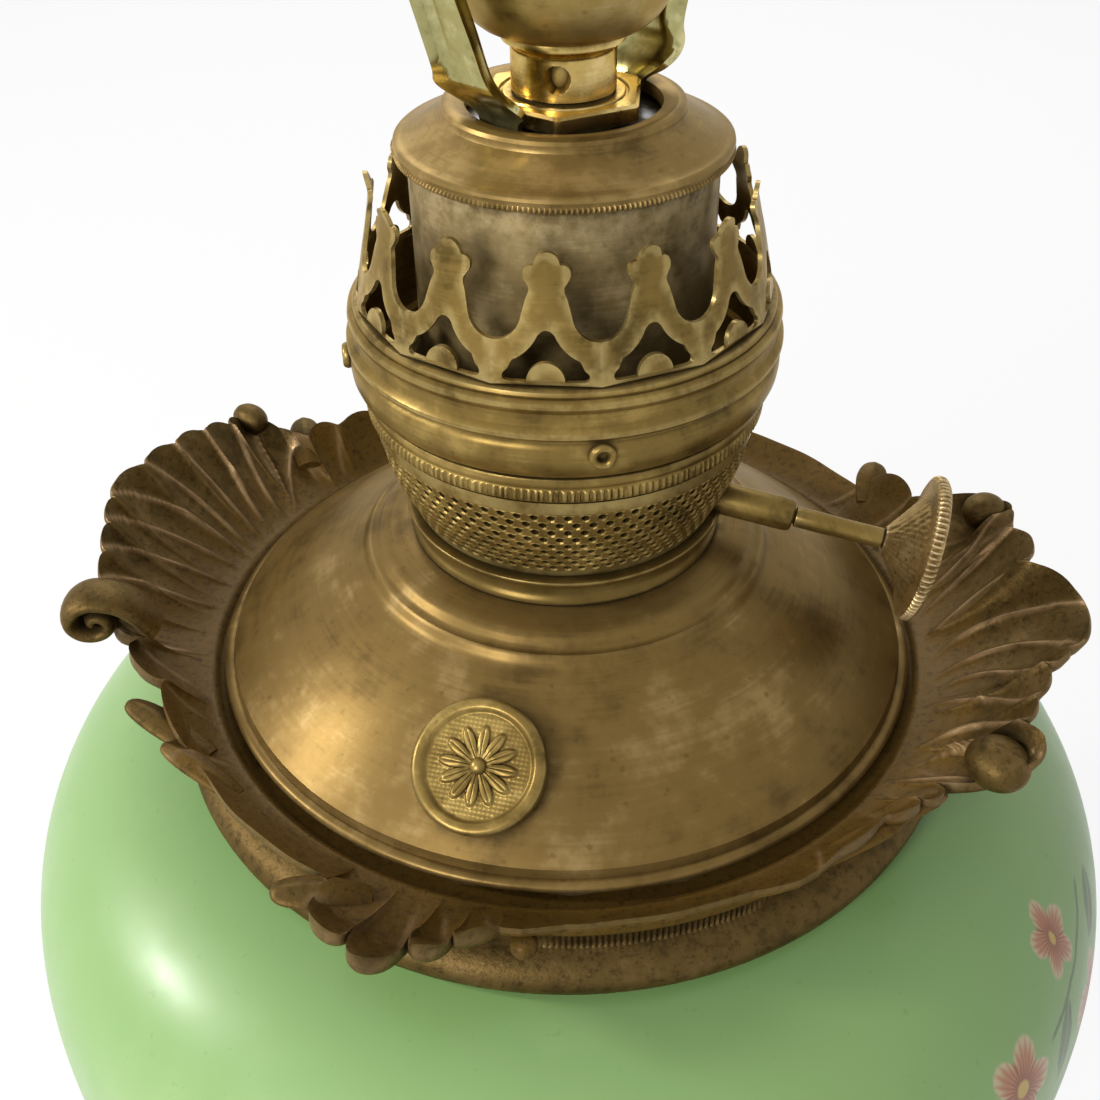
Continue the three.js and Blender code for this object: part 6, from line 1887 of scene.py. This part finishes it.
@dataclass
class Harp:
    """The harp's wire, ferrules, shade washer and finial."""

    turn: float = 45.0
    offset: float = 28.2
    wire: float = 1.6
    leg: float = 136.3
    bulge: float = 52.0
    bulge_level: float = 212.0
    crown: float = 22.0
    top: float = 286.0

    def build(self) -> None:
        """Makes the harp's pieces."""
        self.loop()
        self.ferrules()
        self.fittings()

    def loop(self) -> None:
        """The wire with its flattened crown eye and threaded stud."""
        half = [(self.offset, self.leg), (self.offset - 0.45, 146), (self.offset - 0.5, 151.5),
            (self.offset, 158.3), (33.2, 170), (41.2, 183.3), (48.7, 197.6), (self.bulge, self.bulge_level),
            (49.1, 230.5), (41.6, 250.9), (31.9, 269.2), (self.crown, self.top - self.wire * 3),
            (11.2, 285.7)]
        points = [(x, 0, z) for x, z in half] + [(0, 0, self.top)] + [(-x, 0, z) for x, z in half[::-1]]
        path = spline(points, 7)
        loop = Solid().tube(path, self.wire, (0, 1, 0), 20)
        eye = softened([(0.01, 284.8), (7, 284.8), (7, 287.2), (0.01, 287.2)], 0.6, 2)
        loop.revolve(eye, 64)
        thread = [(0.01, 286.5), (1.9, 286.5)]
        for i in range(13):
            thread += [(2, 287.6 + i * 0.65), (1.75, 287.9 + i * 0.65)]
        thread += [(1.6, 296.1), (0.01, 296.2)]
        loop.revolve(thread, 24)
        loop.moved(spun(self.turn))
        loop.piece("wire_harp", WIRE_BRASS, "harp", "harp", crease=45.0)

    def ferrules(self) -> None:
        """The sliding ferrules: thin tubes with rolled ends."""
        profile = softened([(2.55, 131.6), (3.35, 131.6), (3.5, 132.2), (3.3, 132.9), (3.25, 141.2),
            (3.5, 141.9), (3.35, 142.6), (2.55, 142.6)], 0.25, 2)
        for index, side in enumerate(("back", "front")):
            place = spun(self.turn + 180 * index) @ Matrix.Translation((self.offset, 0, 0))
            tube = Solid().revolve(profile, 40).moved(place)
            tube.piece("ferrule_" + side + "_tube", POLISHED_BRASS, "ferrule_" + side, "harp_ferrule_" + side)

    def fittings(self) -> None:
        """The shade washer and the turned finial."""
        washer = softened([(2.35, 287.5), (6.4, 287.5), (6.4, 288.9), (2.35, 288.9)], 0.3, 2)
        Solid().revolve(washer, 64).piece("turned_washer", POLISHED_BRASS, "shade_washer", "shade_washer")
        knob = spline([(3.6, 293.4), (4.6, 294.6), (7, 297.4), (8, 300.6), (7.6, 303.4), (5.6, 305.4),
            (3.6, 306.4), (2.6, 306.9)], 5)
        profile = [(2.35, 289.2), (6.1, 289.2), (6.4, 289.5), (6.4, 290.3), (6.1, 290.6), (4.9, 290.8),
            (4.4, 291.4), (4.8, 291.9), (4.8, 292.4), (4.1, 292.8), *map(tuple, knob), (2.7, 307.3),
            (2.2, 307.8), (1.3, 308.1), (0.01, 308.2), (0.01, 296.5), (2.35, 296.5)]

        def reeds(angles: np.ndarray, j: int) -> np.ndarray:
            """Shallow reeds on the knob."""
            near = math.exp(-(((profile[j][1] - 300) / 3.4) ** 2)) if profile[j][0] > 3 else 0.0
            return near * 0.3 * (np.abs(np.cos(angles * 8)) - 0.8)

        Solid().revolve(profile, 192, reeds).piece("turned_finial", POLISHED_BRASS, "finial", "finial",
            crease=50.0)


@dataclass
class Socket:
    """The lamp socket: cap, shell, screw shell and turn key."""

    hole_direction: float = -98.0
    hole_level: float = 105.0
    key_direction: float = -45.0
    key_level: float = 133.5

    def build(self) -> None:
        """Makes the socket's pieces."""
        self.cap()
        self.shell()
        self.screw()
        self.key()

    def cap(self) -> None:
        """The cap: neck with a set-screw hole and a flared bell."""
        turns = [math.pi / 2 * share for share in np.linspace(0.06, 1, 12)]
        bell = [(9.0 + 8.2 * math.sin(a), 110.2 + 13.5 * (1 - math.cos(a))) for a in turns]
        neck = [(7.7, 101.8), *((7.7, 102.6 + step * 0.15) for step in range(33)), (7.75, 107.9),
            (8.3, 108.5), (8.95, 108.9), (9.1, 109.4), (8.95, 109.9)]
        seam = [(17.2, 125.2), (17.5, 125.7), (17.5, 126.3), (17.2, 126.8), (17.2, 128.4), (17, 128.7)]
        inside = [(16.5, 128.7), (16.5, 124.5)] + [(r - 0.75, z + 0.5) for r, z in bell[::-1][1:]]
        inside += [(5.1, 110.9), (5.1, 107), (5.1, 103), (5.1, 101.8)]
        profile = neck + bell + seam + inside
        body = Solid().revolve(profile, 320)
        points = np.vstack(body.points)
        angle = (np.degrees(np.arctan2(points[:, 1], points[:, 0])) - self.hole_direction + 180) % 360 - 180
        across = np.radians(angle) * 7.7
        apart = np.hypot(across, points[:, 2] - self.hole_level)
        dip = (np.hypot(points[:, 0], points[:, 1]) > 7) & (points[:, 2] < 107.5) & (apart < 1.9)
        points[dip, :2] *= (4.95 / np.hypot(points[dip, 0], points[dip, 1]))[:, None]
        body.points = [points]
        thing = body.piece("spun_socket_cap", POLISHED_BRASS, "adapter", "socket_cap", crease=40.0)
        reach, _, level = surveyed(thing.data)
        in_hole = (reach > 4.9) & (reach < 5) & (level < 107.5)
        # Painted shade in the set-screw hole, at full strength; the bell above level 110 is darkened by half.
        stored(thing.data, "hole_shade_and_dark_bell", np.where(in_hole, 1, 0.5 * (level > 110)))

    def shell(self) -> None:
        """The shell with its seam, two beads and mouth."""
        profile = [(15.45, 124.4), (16.15, 124.4), (16.15, 129), (17, 129), (17.3, 129.5), (17.3, 130.6),
            (17, 131.4), (16.4, 132), (16.15, 132.6), (16.15, 142), (16.4, 142.5), (16.4, 143.3),
            (16.15, 143.8), (16.15, 156), (16.4, 156.5), (16.4, 157.1), (16.15, 157.6), (16.15, 162.6),
            (16.5, 163.2), (16.45, 163.7), (16, 164), (14.6, 164), (14.35, 163.65), (14.6, 163.3),
            (15.45, 163.2)]
        shell = Solid().revolve(profile, 160)
        shell.piece("spun_socket_shell", POLISHED_BRASS, "adapter", "socket_shell", crease=40.0)

    def screw(self) -> None:
        """The rolled screw shell inside the mouth."""
        outer = [(13.75 + 0.3 * math.cos(step / 6 * math.pi), 141.8 + 19.2 * step / 72) for step in range(73)]
        inner = [(radius - 0.5, level) for radius, level in outer[::-1]]
        shell = Solid().revolve(outer + inner, 96)
        shell.piece("rolled_screw_shell", WIRE_BRASS, "adapter", "screw_shell", crease=60.0)

    def key(self) -> None:
        """The moulded key: a waisted paddle with ribs."""
        half = spline([(0, 26.7), (2.2, 26.8), (3, 29), (5.6, 30.4), (7.5, 33), (7.3, 36.4), (5.4, 38.1),
            (2.6, 37.2), (0, 36.8)], 5)
        loop = np.vstack([half, half[::-1][1:-1] * (-1, 1)])
        middle = np.array([0.0, 32.2])
        rows = []
        for inset, rise in ((0.7, -2.7), (0.25, -2.45), (0, -1.9), (0, 1.9), (0.25, 2.45), (0.7, 2.7)):
            away = loop - middle
            reach = np.linalg.norm(away, axis=1)[:, None]
            near = middle + away * (1 - inset / reach)
            rows.append(np.stack([near[:, 1], near[:, 0], np.full(len(loop), rise)], axis=1))
        key = Solid().strand(np.array(rows), 0.25)
        for side in (-1, 1):
            for offset in (30.5, 32.4, 34.3):
                rib = spline([(offset, -3.6, side * 2.7), (offset, 0, side * 2.95),
                    (offset, 3.6, side * 2.7)], 6)
                key.tube(rib, 0.35, (1, 0, 0), 10)
        place = spun(self.key_direction) @ Matrix.Translation((0, 0, self.key_level))
        key.moved(place).piece("moulded_key", BLACK_MOULDING, "switch", "switch_key", crease=50.0)


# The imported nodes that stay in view, with their finishes

KEPT_NODES: dict[Finish, tuple[str, ...]] = {
    PLAIN_STEEL: ("base_pipe", "foot_washer", "foot_nut", "glass_washer", "glass_nut", "lamp_nipple",
                  "lower_washer", "lower_locknut", "switch_stem"),
    BURNER_BRASS: ("filler_bush", "wick_tube", "wick_pinion"),
    AGED_BRASS: ("font_bowl", "draft_tube"),
    WHITE_PLASTER: ("plaster_ring",),
    CORK_RING: ("filler_gasket",),
    PALE_FIBRE: ("socket_liner",),
    CAST_PORCELAIN: ("socket_body",),
    POLISHED_BRASS: ("centre_contact",),
}


def dress_kept_nodes() -> None:
    """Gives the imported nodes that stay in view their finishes."""
    for finish, names in KEPT_NODES.items():
        for name in names:
            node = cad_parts[name]
            node.data.materials.clear()
            node.data.materials.append(Finishes.of(finish))
            log.info("%s: dressed as %s", name, finish.name)


# Studio


@dataclass(frozen=True)
class Lamp:
    """One soft area lamp: where it is, how wide, how strong and its colour."""

    name: str
    place: Point
    width: float
    power: float
    colour: Colour = WHITE


@dataclass
class Studio:
    """The pale floor, the soft lamps and the camera."""

    camera_place: Point = (-0.00282, -0.1889, 0.3571)
    pitch: float = 38.09
    roll: float = -0.7
    lens: float = 42.12
    sensor: float = 36.0
    clip: tuple[float, float] = (0.005, 20)
    floor_width: float = 8.0
    pale: Colour = (0.93, 0.93, 0.925)
    floor_glow: float = 0.86
    sky_seen: float = 0.685
    sky_light: float = 0.315
    target: Point = (0, 0, 0.2)
    lamps: tuple[Lamp, ...] = (
        Lamp("key_lamp", (-1.05, -0.06, 0.74), 0.14, 6.6, (1, 0.99, 0.97)),
        Lamp("front_lamp", (-0.62, -0.9, 0.7), 0.4, 9.2),
        Lamp("back_lamp", (-0.1, 1, 1.1), 1, 6.5),
    )

    def build(self) -> None:
        """Makes the floor, the lamps, the world and the camera."""
        self.floor()
        self.world()
        for lamp in self.lamps:
            self.lamp(lamp)
        self.camera()

    def floor(self) -> None:
        """The pale floor, which keeps the lamp's shadow."""
        half = self.floor_width / 2
        mesh = bpy.data.meshes.new("floor")
        mesh.from_pydata([(-half, -half, 0), (half, -half, 0), (half, half, 0), (-half, half, 0)], [],
            [(0, 1, 2, 3)])
        material = bpy.data.materials.new("pale_floor")
        tree = NodeTree(material)
        matt = tree.add("BsdfDiffuse", {"Color": self.pale})
        glow = tree.add("Emission", {"Color": WHITE, "Strength": 1.0})
        blend = tree.add("MixShader", {0: tree.seen() * self.floor_glow, 1: matt, 2: glow})
        tree.add("OutputMaterial", {"Surface": blend})
        mesh.materials.append(material)
        placed("floor", mesh)

    def world(self) -> None:
        """A white sky for the camera and a plain soft light for the rest."""
        world = bpy.data.worlds.new("studio")
        bpy.context.scene.world = world
        tree = NodeTree(world)
        strength = tree.seen().math("MULTIPLY_ADD", self.sky_seen, self.sky_light)
        sky = tree.add("Background", {"Color": WHITE, "Strength": strength})
        tree.add("OutputWorld", {"Surface": sky})

    def lamp(self, lamp: Lamp) -> None:
        """Makes one area lamp that points at the oil lamp's middle.

        Args:
            lamp: its place, width, power and colour.
        """
        light = bpy.data.lights.new(lamp.name, "AREA")
        light.shape = "DISK"
        light.size = lamp.width
        light.energy = lamp.power
        light.color = lamp.colour
        thing = placed(lamp.name, light)
        thing.location = lamp.place
        thing.rotation_euler = (Vector(self.target) - Vector(lamp.place)).to_track_quat("-Z", "Y").to_euler()

    def camera(self) -> None:
        """The camera at the photo's place, looking down on the burner."""
        data = bpy.data.cameras.new("camera")
        data.lens = self.lens
        data.sensor_width = self.sensor
        data.clip_start, data.clip_end = self.clip
        thing = placed("camera", data)
        turn = Matrix.Rotation(math.radians(90 - self.pitch), 4, "X") @ spun(self.roll)
        thing.matrix_world = Matrix.Translation(self.camera_place) @ turn
        bpy.context.scene.camera = thing


def main() -> None:
    """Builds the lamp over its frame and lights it."""
    logging.basicConfig(level=logging.INFO, format="%(message)s")
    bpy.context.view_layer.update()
    bpy.context.scene.view_settings.view_transform = "Standard"
    Studio().build()
    for assembly in (Foot(), GlassBody(), Collar(), Font(), Burner(), Winder(), Gallery(), Adapter(), Harp(),
            Socket()):
        assembly.build()
        log.info("%s built", type(assembly).__name__)
    dress_kept_nodes()


if __name__ == "__main__":
    main()
